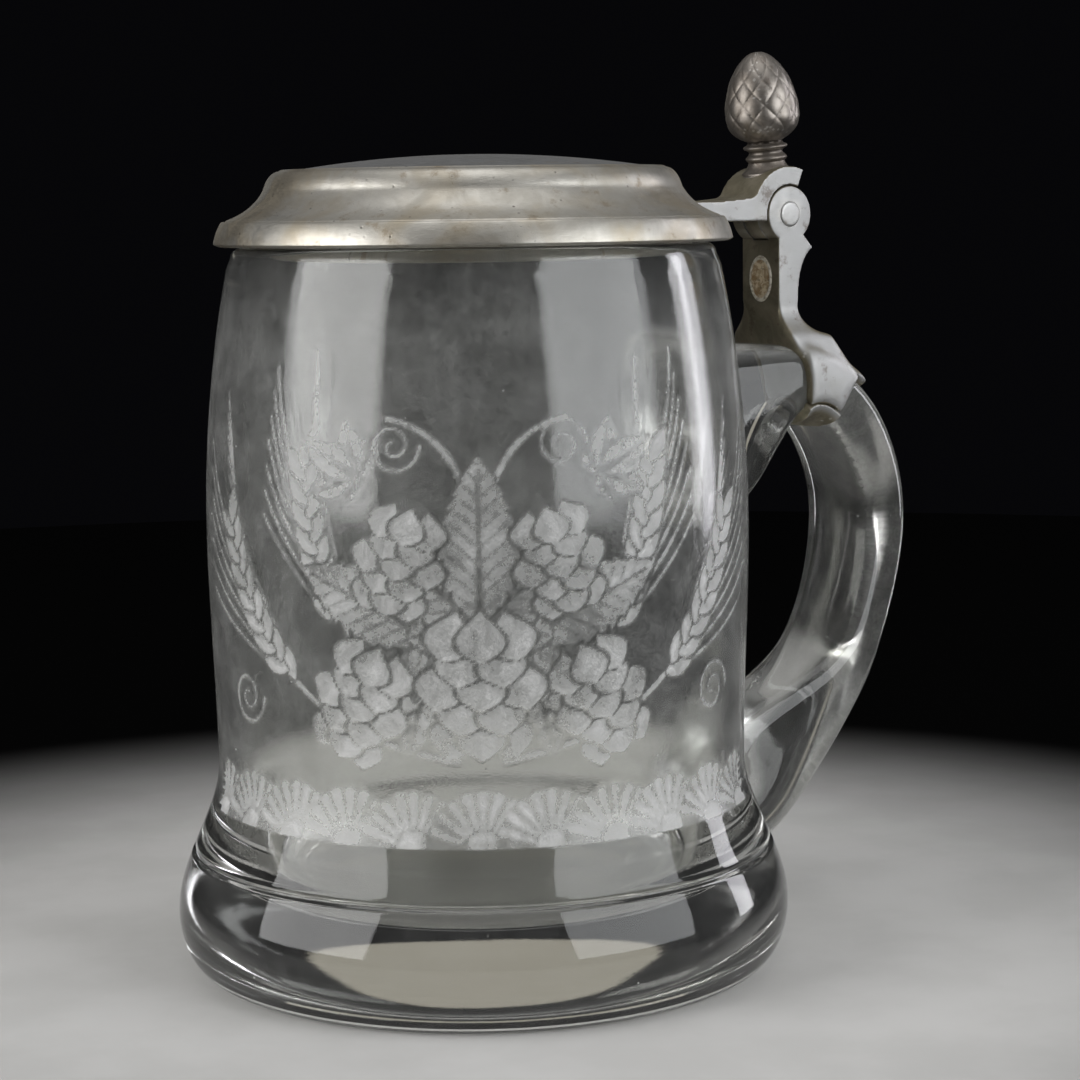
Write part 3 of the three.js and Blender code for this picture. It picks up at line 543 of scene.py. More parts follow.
def glass_body():
    """The mug without its handle: fine rows and columns under the design, plain ones elsewhere."""
    fine = np.arange(FRONT - DESIGN_HALF, FRONT + DESIGN_HALF, FINE_STEP)
    back = np.arange(FRONT + DESIGN_HALF, FRONT - DESIGN_HALF + 2 * pi - BACK_STEP / 2, BACK_STEP)
    dense_turns = np.concatenate([fine, back])
    plain_turns = np.linspace(fine[0], fine[0] + 2 * pi, PLAIN_COLUMNS, endpoint=False)
    rows = []

    def plain(radius, z):
        rows.append((plain_turns, np.full(len(plain_turns), float(radius)), float(z)))

    for radius, z in FOOT_UNDERSIDE:
        plain(radius, z)
    for k in range(1, FOOT_ROWS + 1):
        z = FOOT_HEIGHT * (1 - cos(pi / 2 * k / FOOT_ROWS))
        plain(body_radius(z), z)
    low, high = RING_HEIGHT - RING_WIDTH / 2, RING_HEIGHT + RING_WIDTH / 2
    below = np.arange(FOOT_HEIGHT + 1.0, low, 1.0)
    above = np.arange(high + 0.8, DESIGN_LOW - 0.3, 1.0)
    for z in np.concatenate([below, np.linspace(low, high, RING_ROWS), above]):
        plain(body_radius(z) - cut_ring(z), z)
    for z in np.arange(DESIGN_LOW, DESIGN_HIGH, ROW_STEP):
        x, y = np.cos(dense_turns), np.sin(dense_turns)
        depth = design_at(x, y, np.full(len(x), z))[1]
        rows.append((dense_turns, body_radius(z) - depth, float(z)))
    half = WALL / 2
    for z in np.linspace(DESIGN_HIGH + 0.6, RIM_HEIGHT - half, TOP_ROWS)[:-1]:
        plain(body_radius(z), z)
    for turn in np.linspace(0, pi, RIM_ROWS):
        plain(RIM_RADIUS - half + half * cos(turn), RIM_HEIGHT - half + half * sin(turn))
    floor_top = FLOOR_THICKNESS + FLOOR_ROUNDING
    for z in np.linspace(RIM_HEIGHT - half, floor_top, INNER_ROWS)[1:]:
        plain(body_radius(max(z, WAIST_HEIGHT)) - WALL, z)
    centre = WAIST_RADIUS - WALL - FLOOR_ROUNDING
    for turn in np.linspace(0, pi / 2, CORNER_ROWS)[1:]:
        plain(centre + FLOOR_ROUNDING * cos(turn), floor_top - FLOOR_ROUNDING * sin(turn))
    for radius in INNER_FLOOR_RADII:
        plain(radius, FLOOR_THICKNESS)
    points, made = [(0, 0, FOOT_HOLLOW)], []
    for turns, radius, z in rows:
        start = len(points)
        points += [(r * cos(t), r * sin(t), z) for r, t in zip(radius, turns)]
        made.append((turns, list(range(start, start + len(turns)))))
    points.append((0, 0, FLOOR_THICKNESS))
    faces = end_fans(made[0][1], made[-1][1], len(points) - 1)
    for (low_turns, low_row), (high_turns, high_row) in zip(made, made[1:]):
        if len(low_row) == len(high_row):
            faces += ring_faces(low_row, high_row)
        else:
            faces += zipped_faces(low_row, low_turns, high_row, high_turns)
    return mesh_object("glass_mug", points, faces)


# Glass handle

def smooth_line(points, t):
    """A smooth line through points, evenly numbered from 0 to 1, with spacing by the root of the distance."""
    points = [np.asarray(p, float) for p in points]
    last = len(points) - 1
    k = min(int(t * last), last - 1)
    w = t * last - k
    p1, p2 = points[k], points[k + 1]
    p0 = points[k - 1] if k > 0 else 2 * p1 - p2
    p3 = points[k + 2] if k + 2 <= last else 2 * p2 - p1
    d0, d1, d2 = (max(np.linalg.norm(b - a), 1e-6) ** 0.5 for a, b in ((p0, p1), (p1, p2), (p2, p3)))
    m1 = ((p1 - p0) / d0 - (p2 - p0) / (d0 + d1) + (p2 - p1) / d1) * d1
    m2 = ((p2 - p1) / d1 - (p3 - p1) / (d1 + d2) + (p3 - p2) / d2) * d1
    return p1 + m1 * w + (-3 * p1 + 3 * p2 - 2 * m1 - m2) * w ** 2 + (2 * p1 - 2 * p2 + m1 + m2) * w ** 3


MIDDLE = [np.array(station[:2]) for station in HANDLE_STATIONS]


def handle_edge(sign):
    """Points half a thickness to one side of the middle line, one for each station."""
    made = []
    last = len(MIDDLE) - 1
    step = 1e-4
    for k, station in enumerate(HANDLE_STATIONS):
        t = k / last
        way = smooth_line(MIDDLE, min(t + step, 1)) - smooth_line(MIDDLE, max(t - step, 0))
        way /= np.linalg.norm(way)
        made.append(MIDDLE[k] + sign * station[2] / 2 * np.array([-way[1], way[0]]))
    return made


OUTER_EDGE, GRIP_EDGE = handle_edge(1), handle_edge(-1)


def handle_point(t, turn, grow=0.0):
    """A point on the handle's skin: turn 0 is the outside of the bend, half a turn the grip side."""
    outer, grip = smooth_line(OUTER_EDGE, t), smooth_line(GRIP_EDGE, t)
    across = outer - grip
    half = np.linalg.norm(across) / 2
    middle = (outer + grip) / 2
    place = t * (len(HANDLE_STATIONS) - 1)
    k = min(int(place), len(HANDLE_STATIONS) - 2)
    width = mix(HANDLE_STATIONS[k][3], HANDLE_STATIONS[k + 1][3], float(smoothstep(place - k, 0, 1)))
    from_root = np.hypot(*(middle - MIDDLE[0]))
    grow += ROOT_SPREAD * float(1 - smoothstep(from_root, ROOT_NEAR, ROOT_REACH)) ** ROOT_CURVE
    power = 2 / SECTION_POWER
    out = (half + grow) * copysign(abs(cos(turn)) ** power, cos(turn))
    side = (width / 2 + grow) * copysign(abs(sin(turn)) ** power, sin(turn))
    x, z = middle + across / (2 * half) * out
    return x, side, z


# Places along the handle by the length of its middle line
LINE_T = np.linspace(0, 1, 2001)
LINE = np.array([smooth_line(MIDDLE, t) for t in LINE_T])
LINE_RUN = np.concatenate([[0], np.cumsum(np.linalg.norm(np.diff(LINE, axis=0), axis=1))])


def t_at_run(run):
    return float(np.interp(run, LINE_RUN, LINE_T))


def run_at_x(x):
    """How far along its middle line the handle first reaches a distance from the axis."""
    return float(LINE_RUN[int(np.argmax(LINE[:, 0] >= x))])


def section_turns(count):
    """Turns round the handle's section that space its points evenly along the flattened shape."""
    t = np.linspace(0, 2 * pi, 4001)
    power = 2 / SECTION_POWER
    x = HANDLE_THICKNESS * np.sign(np.cos(t)) * np.abs(np.cos(t)) ** power
    y = HANDLE_WIDTH * np.sign(np.sin(t)) * np.abs(np.sin(t)) ** power
    run = np.concatenate([[0], np.cumsum(np.hypot(np.diff(x), np.diff(y)))])
    return np.interp(np.linspace(0, run[-1], count, endpoint=False), run, t)


def handle_skin(name, grow, start_x, rows, columns):
    """The handle from a distance from the axis to its tail, larger all round by grow."""
    turns = section_turns(columns)
    runs = np.linspace(run_at_x(start_x), LINE_RUN[-1], rows + 1)
    return loft(name, [[handle_point(t_at_run(run), turn, grow) for turn in turns] for run in runs])


def glass_mug():
    """Body and handle as one piece of glass, with its matt strength stored at each point."""
    mug = glass_body()
    combine(mug, handle_skin("handle", 0, HANDLE_START, HANDLE_ROWS, HANDLE_COLUMNS), "UNION")
    place = np.empty(len(mug.data.vertices) * 3)
    mug.data.vertices.foreach_get("co", place)
    x, y, z = (place.reshape(-1, 3) / MM).T
    proud = np.hypot(x, y) - body_radius(z)
    outside = np.abs(proud) < SKIN
    frost = np.zeros(len(z))
    handle = np.nonzero((x > RIM_RADIUS) & (proud > 0))[0]
    # The handle's faint bloom, plus a pale matt band along its outer edge that is partly bloom and partly a
    # painted highlight
    rim = np.array([smooth_line(OUTER_EDGE, t) for t in np.linspace(0, 1, 161)])
    gap = np.hypot(x[handle, None] - rim[:, 0], z[handle, None] - rim[:, 1]).min(axis=1)
    frost[handle] = HANDLE_BLOOM + EDGE_HIGHLIGHT_BLOOM * (1 - smoothstep(gap, HIGHLIGHT_NEAR, HIGHLIGHT_FAR))
    frost[outside] = design_at(x[outside], y[outside], z[outside])[0]
    layer = mug.data.attributes.new("frost", "FLOAT", "POINT")
    layer.data.foreach_set("value", frost.astype(np.float32))
    return smooth_shaded(mug)


# Pewter

def lid_side(grow):
    """The outer side of the lid from its lower lip to the bead round the dome."""
    band = LID_RADIUS - BAND_SLANT + grow
    bead = DOME_RADIUS + BEAD_WIDTH + grow
    hollow = bead + SHOULDER_WIDTH
    groove = band - GROOVE_DEPTH
    lip = (LID_RADIUS + grow, LID_BOTTOM + LIP_HEIGHT / 2)
    belly = (LID_RADIUS + grow - 0.38, BAND_TOP - 1.9)
    edge, crest = (band + 0.25, BAND_TOP - 0.35), (band, BAND_TOP + 0.15)
    inner_edge = (band - 0.35, BAND_TOP + 0.05)
    sweep_foot = (groove - 0.25, BAND_TOP + GROOVE_DEPTH / 2)
    sweep, sweep_top = (hollow + HOLLOW_SWEEP, BAND_TOP + HOLLOW_SWEEP), (hollow, BAND_TOP + HOLLOW_HEIGHT)
    shoulder, bead_foot = (bead + 1.7, SHOULDER_TOP - 0.15 + grow), (bead - 0.2, SHOULDER_TOP + 0.1 + grow)
    side = [(LID_RADIUS - LIP_HEIGHT + grow, LID_BOTTOM - grow)]
    side += quadratic(lip, belly, edge, 10)
    side += quadratic(edge, crest, inner_edge, 5)[1:]
    side += [(groove, BAND_TOP - 0.1)]
    side += quadratic(sweep_foot, sweep, sweep_top, 20)
    side += quadratic(sweep_top, shoulder, bead_foot, 14)[1:]
    return side


def lid_ring():
    """The cast ring of the lid: flange, outer side, bead, seat of the dome and hollow underside."""
    seat, flange = SHOULDER_TOP - DOME_THICKNESS, LID_BOTTOM - FLANGE_DEPTH
    seat_outer, seat_inner = DOME_RADIUS + 0.08, DOME_RADIUS - DOME_SEAT
    profile = [(FLANGE_INNER, flange), (FLANGE_OUTER, flange), (FLANGE_OUTER, LID_BOTTOM)]
    profile += lid_side(0)
    profile += [(DOME_RADIUS + BEAD_WIDTH / 2, SHOULDER_TOP + BEAD_HEIGHT),
                (seat_outer, SHOULDER_TOP + BEAD_HEIGHT / 2), (seat_outer, seat), (seat_inner, seat)]
    under = seat - LID_SHELL
    corner, foot = (FLANGE_INNER - LID_SHELL, under), (FLANGE_INNER, LID_BOTTOM)
    profile += quadratic((seat_inner, under), corner, foot, 10)
    return smooth_shaded(lathe("lid_ring", rounded(profile, 0.35, 4, 14, True), 192, True), 50)


def lid_plate():
    """The shallow dome set in the ring, hollow beneath."""
    bottom = SHOULDER_TOP - DOME_THICKNESS + 0.05
    hollow = DOME_RADIUS - DOME_SEAT
    shares = np.linspace(1, 0, 25)
    cap = [(DOME_RADIUS * s, SHOULDER_TOP + DOME_RISE * (1 - s * s)) for s in shares]
    under = [(hollow * s, bottom + DOME_RISE * (1 - s * s)) for s in shares[::-1]]
    return smooth_shaded(lathe("lid_plate", rounded(under + [(DOME_RADIUS, bottom)] + cap, 0.3), 160), 50)


def lid_envelope():
    """The lid's outer form, filled, for cutting the arm to fit on it."""
    side = lid_side(-0.05)
    bottom = LID_BOTTOM - 0.3
    return lathe("lid_envelope", [(0, bottom), (side[0][0], bottom)] + side + [(0, SHOULDER_TOP)], 192)


KNUCKLE = arc((HINGE_X, HINGE_Z), KNUCKLE_RADIUS, 0, 355, 71)


def lid_arm():
    """The bar on the lid's shoulder, the arch over the knuckles and the middle knuckle."""
    top, bottom = HINGE_Z + BAR_RISE, HINGE_Z + BAR_RISE - BAR_THICKNESS
    centre = (HINGE_X, HINGE_Z)
    bottom_meet = 180 + degrees(asin((HINGE_Z - bottom) / CLEAR_RADIUS))
    outline = arc(centre, ARCH_RADIUS, ARCH_END, ARCH_FOOT, 48)
    outline += quadratic(outline[-1], (HINGE_X - 8.4, top + 0.8), (HINGE_X - 9.8, top + 0.6), 6)[1:]
    outline += [(HINGE_X - 17.3, top), (BAR_END, top - 0.2), (BAR_END, bottom)]
    outline += arc(centre, CLEAR_RADIUS, bottom_meet, ARCH_END, 40)
    arm = remeshed(slab("lid_arm", outline, HINGE_WIDTH, SHARP, 1), ARM_VOXEL, CAST_ROUNDS)
    web = arc(centre, 7.3, ARCH_END, 180, 30) + [(HINGE_X - CLEAR_RADIUS, bottom), (HINGE_X, bottom), centre]
    combine(arm, slab("web", web, MIDDLE_KNUCKLE, 0.05, 1), "UNION")
    combine(arm, slab("knuckle", KNUCKLE, MIDDLE_KNUCKLE, 0.2), "UNION")
    combine(arm, rod("hole", PIN_RADIUS + 0.1, 2 * HINGE_WIDTH), "DIFFERENCE")
    combine(arm, lid_envelope(), "DIFFERENCE")
    return smooth_shaded(arm, 32)


def seat_cutter():
    """The handle with a thin clearance, for cutting the seat of the pewter round it."""
    return handle_skin("handle", CUT_CLEARANCE, MOUNT_START, 120, 64)


def strap_shell(name, first, last, lift, thick):
    """A band round part of the handle's section, with a pointed tail on its outside."""
    start = run_at_x(HINGE_X + STRAP_OFFSET)
    tail_turn = radians(STRAP_TAIL_ANGLE)
    rings = []
    for turn in np.linspace(first, last, 61):
        fade = float(smoothstep(abs(turn), tail_turn / 2, tail_turn))
        runs = np.linspace(start, start + STRAP_LENGTH + STRAP_TAIL * (1 - fade), 15)
        outside = [handle_point(t_at_run(run), turn, lift + thick) for run in runs]
        inside = [handle_point(t_at_run(run), turn, lift) for run in runs[::-1]]
        rings.append(outside + inside)
    return loft(name, rings)


def stem_back():
    """The outer line of the stem from the toe on the handle to the stop and the hinge."""
    turn = radians(STOP_ANGLE)
    tip = (HINGE_X + STOP_RADIUS * cos(turn), HINGE_Z + STOP_RADIUS * sin(turn))
    root = (HINGE_X + KNUCKLE_RADIUS * cos(turn), HINGE_Z + KNUCKLE_RADIUS * sin(turn))
    toe = STEM_FOOT + TOE_RISE
    flare = (STEM_OUTER, STEM_FOOT + STEM_FLARE)
    line = [(HINGE_X + TOE_REACH, STEM_FOOT - TOE_DROP)]
    line += quadratic((HINGE_X + TOE_SHOULDER, toe), (STEM_OUTER, toe), flare, 16)
    line += quadratic(flare, (STEM_OUTER, tip[1] - STEM_THICKNESS / 2), tip, 16)[1:]
    return line + [root, (HINGE_X, HINGE_Z)]


def stem():
    """The stem, widening downwards to the sides of the saddle."""
    bottom = STEM_FOOT - TOE_DROP
    foot_width = HANDLE_WIDTH + 2 * (SEAT_GAP + STRAP_THICKNESS)
    half, low = foot_width / 2 - 0.05, bottom - 4.4
    near, far = HINGE_X + 1.2, HINGE_X + 8.6
    rings = [[(near, -half, low), (far, -half, low), (far, half, low), (near, half, low)]]
    for x, z in stem_back():
        left = mix(HINGE_X, STEM_INNER, float(smoothstep(z, bottom, STEM_FOOT)))
        narrow = float(smoothstep(z, bottom + 3.6, STEM_FOOT + STEM_SPREAD + 1))
        half = mix(foot_width, HINGE_WIDTH, narrow) / 2
        rings.append([(left, -half, z), (x, -half, z), (x, half, z), (left, half, z)])
    return loft("stem", rings)


def shank_mount():
    """The saddle on the handle, the stem with its stop, and the two outer knuckles."""
    seam = radians(STRAP_SEAM)
    thick = STRAP_THICKNESS + SEAT_GAP + SADDLE_SINK
    mount = combine(stem(), strap_shell("saddle", -seam, seam, -SADDLE_SINK, thick), "UNION")
    remeshed(mount, MOUNT_VOXEL, CAST_ROUNDS)
    softened(mount, BLEND_ROUNDS, lambda p: float(1 - smoothstep(p.z, STEM_FOOT + 2, STEM_FOOT + STEM_FLARE)))
    combine(mount, slab("knuckles", KNUCKLE, HINGE_WIDTH, 0.35, 4), "UNION")
    combine(mount, seat_cutter(), "DIFFERENCE")
    combine(mount, rod("slot", CLEAR_RADIUS, MIDDLE_KNUCKLE + 2 * HINGE_GAP), "DIFFERENCE")
    combine(mount, rod("hole", PIN_RADIUS + CUT_CLEARANCE, 2 * HINGE_WIDTH), "DIFFERENCE")
    mount.name = mount.data.name = "shank_mount"
    return smooth_shaded(mount, 40)


def strap_band():
    """The lower half of the band, closed under the handle."""
    first = radians(STRAP_SEAM + SEAM_GAP / 2)
    thick = STRAP_THICKNESS + SEAT_GAP + BAND_SINK
    band = strap_shell("strap_band", first, 2 * pi - first, -BAND_SINK, thick)
    remeshed(band, MOUNT_VOXEL, CAST_ROUNDS)
    combine(band, seat_cutter(), "DIFFERENCE")
    return smooth_shaded(band, 40)


AT_HINGE = Matrix.Translation((HINGE_X * MM, 0, HINGE_Z * MM))


def rivet():
    """The pin with its two low rounded heads."""
    half = HINGE_WIDTH / 2 + PIN_PROUD
    ends = quadratic((PIN_RADIUS, half - 0.3), (PIN_RADIUS - 0.05, half), (PIN_RADIUS - 0.7, half), 5)
    profile = [(0, -half - 0.02)] + [(r, -z) for r, z in ends[::-1]] + ends + [(0, half + 0.02)]
    pin = lathe("rivet", profile, 64)
    pin.data.transform(AT_HINGE @ Matrix.Rotation(pi / 2, 4, "X"))
    return smooth_shaded(pin, 40)


def cone_radius(share):
    """Radius of the pine cone at a share of its height."""
    if share < CONE_WIDEST:
        return CONE_RADIUS * sqrt(max(1 - (1 - share / CONE_WIDEST) ** CONE_BASE_ROUNDING, 0))
    rise = (share - CONE_WIDEST) / (1 - CONE_WIDEST)
    return CONE_RADIUS * max(1 - rise ** CONE_TAPER, 0) ** CONE_TIP_ROUNDING


def cone_lift():
    """The turned neck with its collars, and the pine cone with crossing rows of scales."""
    root, start = ARCH_RADIUS - 3, ARCH_RADIUS + NECK_HEIGHT
    foot = ARCH_RADIUS - 0.9
    neck = [(NECK_FOOT, root), (NECK_FOOT, foot)]
    low_collar, waist = (NECK_RADIUS, ARCH_RADIUS + 1.1), (NECK_RADIUS, ARCH_RADIUS + 2.4)
    high_collar, cone_seat = (NECK_RADIUS + 0.1, start - COLLAR_HEIGHT), (NECK_RADIUS + 0.1, start)
    neck += quadratic((NECK_FOOT, foot), (NECK_RADIUS + 0.3, foot + 0.7), low_collar, 10)[1:]
    neck += quadratic(low_collar, (COLLAR_RADIUS + 0.3, ARCH_RADIUS + 1.75), waist, 8)[1:]
    neck += quadratic(waist, (NECK_RADIUS - 0.5, start - 1.4), high_collar, 6)[1:]
    neck += quadratic(high_collar, (COLLAR_RADIUS + 0.8, start - COLLAR_HEIGHT / 2), cone_seat, 10)[1:]
    neck += [(NECK_RADIUS - THROAT, start + 0.3)]
    turns = around(CONE_COLUMNS)
    points, made = [(0, 0, root)], []

    def add(radius, z):
        base = len(points)
        points.extend((r * cos(t), r * sin(t), z) for r, t in zip(radius, turns))
        made.append(list(range(base, base + CONE_COLUMNS)))

    for r, z in rounded(neck, 0.25, 4, 25):
        add(np.full(CONE_COLUMNS, r), z)
    for row in range(CONE_ROWS + 1):
        share = mix(CONE_FLAT, 1 - CONE_FLAT, row / CONE_ROWS)
        plain = cone_radius(share)
        if share < CONE_WIDEST and plain < NECK_RADIUS - THROAT:
            continue
        across, up = turns / (2 * pi) * SCALES_AROUND, SCALE_ROWS * row / CONE_ROWS
        boss = np.abs(np.sin(pi * (across + up)) * np.sin(pi * (across - up)))
        relief = SCALE_RELIEF * np.minimum(boss, 1) ** SCALE_FLATNESS * plain / CONE_RADIUS
        add(plain + relief, start + share * CONE_HEIGHT)
    points.append((0, 0, start + CONE_HEIGHT * (1 - CONE_FLAT / 2)))
    faces = end_fans(made[0], made[-1], len(points) - 1)
    lift = mesh_object("cone_lift", points, faces + stack_faces(made))
    lean = Matrix.Rotation(-radians(THUMB_LEAN), 4, "Y")
    lift.data.transform(AT_HINGE @ lean)
    combine(lift, rod("arch", ARCH_RADIUS - 0.05, 2 * HINGE_WIDTH, 96), "DIFFERENCE")
    return smooth_shaded(lift, 60)


def shank_oval():
    """The oval plate on the inner face of the shank, inside a raised rim."""
    turns = around(72)
    rings = [[(STEM_INNER - lift, -OVAL_HALF_WIDTH * share * cos(t),
               OVAL_HEIGHT + OVAL_HALF_HEIGHT * share * sin(t)) for t in turns]
             for share, lift in OVAL_PROFILE]
    return smooth_shaded(loft("shank_oval", rings), 50)


# Materials

def feed(tree, socket, value):
    """Links an output to a socket, or sets the socket's own value."""
    if isinstance(value, bpy.types.NodeSocket):
        tree.links.new(value, socket)
    elif socket.type == "RGBA":
        socket.default_value = (*value[:3], 1.0)
    else:
        socket.default_value = value


def add_node(tree, kind, inputs=(), **settings):
    made = tree.nodes.new("ShaderNode" + kind)
    for key, value in settings.items():
        setattr(made, key, value)
    for key, value in dict(inputs).items():
        feed(tree, made.inputs[key], value)
    return made


class Surface:
    """A material under construction: each call adds a node and returns its output."""

    def __init__(self, name):
        self.material = bpy.data.materials.new(name)
        self.material.use_nodes = True
        self.tree = self.material.node_tree
        self.tree.nodes.clear()
        self.place = add_node(self.tree, "TexCoord").outputs["Object"]

    def noise(self, size, detail=3.0, rough=0.55, stretch=None, warp=0.0):
        """Noise whose features are about size millimetres across."""
        place = self.place
        if stretch:
            place = add_node(self.tree, "Mapping", {"Vector": place, "Scale": stretch}).outputs[0]
        values = {"Vector": place, "Scale": 1000 / size, "Detail": detail,
                  "Roughness": rough, "Distortion": warp}
        return add_node(self.tree, "TexNoise", values).outputs[0]

    def cells(self, size):
        values = {"Vector": self.place, "Scale": 1000 / size, "Randomness": 1.0}
        return add_node(self.tree, "TexVoronoi", values).outputs["Distance"]

    def remap(self, value, low, high, first=0.0, last=1.0):
        values = {"Value": value, "From Min": low, "From Max": high, "To Min": first, "To Max": last}
        return add_node(self.tree, "MapRange", values, interpolation_type="SMOOTHSTEP").outputs[0]

    def maths(self, operation, first, second):
        made = add_node(self.tree, "Math", operation=operation)
        for socket, value in zip(made.inputs, (first, second)):
            feed(self.tree, socket, value)
        return made.outputs[0]

    def patch(self, size, detail, low, high, first=0.0, last=1.0, rough=0.55, warp=0.0):
        """Noise spread from first to last between two of its levels."""
        return self.remap(self.noise(size, detail, rough, warp=warp), low, high, first, last)

    def times(self, first, second):
        return self.maths("MULTIPLY", first, second)

    def plus(self, first, second):
        return self.maths("ADD", first, second)

    def blend(self, share, first, second, kind="MIX"):
        made = add_node(self.tree, "Mix", data_type="RGBA", blend_type=kind)
        sockets = [made.inputs["Factor"], *(s for s in made.inputs if s.type == "RGBA")]
        for socket, value in zip(sockets, (share, first, second)):
            feed(self.tree, socket, value)
        return next(s for s in made.outputs if s.type == "RGBA")

    def pointed(self):
        return add_node(self.tree, "NewGeometry").outputs["Pointiness"]

    def sideways(self):
        """How far the surface faces along the hinge axis, whatever the pose."""
        facing = add_node(self.tree, "TexCoord").outputs["Normal"]
        parts = add_node(self.tree, "SeparateXYZ", {"Vector": facing}).outputs
        return self.maths("ABSOLUTE", parts["Y"], 0.0)

    def bump(self, height, strength, depth, under=None):
        values = {"Height": height, "Strength": strength, "Distance": depth * MM}
        if under is not None:
            values["Normal"] = under
        return add_node(self.tree, "Bump", values).outputs[0]

    def close(self, inputs, kind="BsdfPrincipled"):
        shader = add_node(self.tree, kind, inputs)
        output = add_node(self.tree, "OutputMaterial", {"Surface": shader.outputs[0]})
        output.is_active_output = True
        return self.material


# Colours, as written in linear light
GLASS_CLEAR, GLASS_MATT = (0.96, 0.965, 0.934), (0.8, 0.8, 0.79)
GLASS_IOR, MATT_ROUGHNESS, MATT_CLOSE = 1.5, 0.55, 0.62
TAN, PIT_DARK = (0.43, 0.35, 0.225), (0.06, 0.05, 0.04)
GRIME, WORN_EDGE = (0.09, 0.075, 0.06), (0.72, 0.7, 0.66)
INLAY_TAN, INLAY_CREAM, INLAY_DIRT = (0.36, 0.23, 0.11), (0.74, 0.62, 0.42), (0.1, 0.07, 0.04)
INLAY_METAL, INLAY_TARNISH = (0.82, 0.78, 0.68), (0.42, 0.36, 0.27)
# Floor: two pale tones mixed at random, and the near black it is painted towards between two distances in
# metres from the centre, a painted falloff of light
FLOOR_SHADE, FLOOR_LIGHT, FLOOR_PAINTED_DARK = (0.5, 0.493, 0.48), (0.54, 0.532, 0.52), (0.0015, 0.0015, 0.0015)
PAINTED_FALLOFF_START, PAINTED_FALLOFF_END = 0.08, 0.23
STUDIO_DARK, STUDIO_GREY = (0.002, 0.002, 0.0025), (0.3, 0.3, 0.3)


def glass_look():
    """Clear glass that turns matt where the mug's frost is strong, with a faint smear and specks."""
    made = Surface("clear_glass")
    frost = level = add_node(made.tree, "Attribute", attribute_name="frost").outputs["Fac"]
    grain, cloud, mottle = made.noise(0.55, 2.0), made.noise(9.0, 3.0), made.noise(2.6, 3.0, 0.65)
    for tone, least, most in ((grain, 0.82, 1.12), (cloud, 0.68, 1.22), (mottle, 0.8, 1.15)):
        level = made.times(level, made.remap(tone, 0.3, 0.7, least, most))
    dots = made.remap(made.cells(4.6), 0.025, 0.055, 0.45, 0.0)
    specks = made.times(dots, made.patch(13.0, 2.0, 0.46, 0.58))
    level = made.plus(level, specks)
    smear = made.patch(16.0, 4.0, 0.45, 0.75, 0.0, 0.03, 0.6, 0.6)
    rough = made.plus(made.times(level, MATT_ROUGHNESS), smear)
    clear = made.maths("SUBTRACT", 1.0, made.times(level, MATT_CLOSE))
    colour = made.blend(level, GLASS_CLEAR, GLASS_MATT)
    ripple = made.bump(made.noise(14.0, 1.0), 0.12, 0.25)
    tooth = made.bump(made.noise(0.35, 2.0), made.times(frost, 0.5), 0.12, ripple)
    return made.close({"Base Color": colour, "Roughness": rough, "Transmission Weight": clear,
                       "IOR": GLASS_IOR, "Normal": tooth})


def pewter_look(name, light, shade, stain, rough, metallic, side_light=None, pits=1.0, grain=0.5, tan=0.0):
    """Aged pewter: cloudy tones, brown stain, small pits, scratches, and wear on raised edges."""
    made = Surface(name)
    cloud = made.patch(7.0, 4.0, 0.32, 0.68, rough=0.6, warp=0.5)
    colour = made.blend(cloud, shade, light)
    if side_light:
        flat = made.remap(made.sideways(), 0.55, 0.9)
        flat = made.times(flat, made.patch(5.0, 4.0, 0.25, 0.5, 0.8, 1.0))
        colour = made.blend(flat, colour, side_light)
    warm = made.patch(15.0, 3.0, 0.45, 0.66, 0.0, 0.55, 0.6, 0.4)
    colour = made.blend(made.times(warm, tan), colour, TAN)
    spots = made.patch(4.2, 5.0, 0.56, 0.7, 0.0, 0.6, 0.7)
    colour = made.blend(spots, colour, stain)
    pitted = made.patch(9.0, 2.0, 0.46, 0.56, 0.0, pits)
    holes = made.times(made.remap(made.cells(2.2), 0.04, 0.15, 1.0, 0.0), pitted)
    colour = made.blend(made.times(holes, 0.75), colour, PIT_DARK)
    edge = made.pointed()
    colour = made.blend(made.remap(edge, 0.44, 0.5, 0.75, 0.0), colour, GRIME, "MULTIPLY")
    colour = made.blend(made.remap(edge, 0.52, 0.6, 0.0, 0.45), colour, WORN_EDGE)
    scratch = made.noise(1.2, 3.0, 0.7, stretch=(1.0, 1.0, 9.0))
    fine = made.noise(0.28, 3.0, 0.6)
    dull = made.remap(cloud, 0.0, 1.0, rough + 0.06, rough - 0.05)
    dull = made.plus(dull, made.remap(scratch, 0.3, 0.7, -0.05, 0.05))
    dull = made.plus(dull, made.times(spots, 0.15))
    height = made.maths("SUBTRACT", made.times(fine, grain), holes)
    height = made.plus(height, made.times(scratch, 0.5))
    rolled = made.bump(made.noise(6.0, 2.0), 0.25, 0.5)
    normal = made.bump(height, 0.35, 0.14, rolled)
    return made.close({"Base Color": colour, "Metallic": metallic, "Roughness": dull, "Normal": normal})


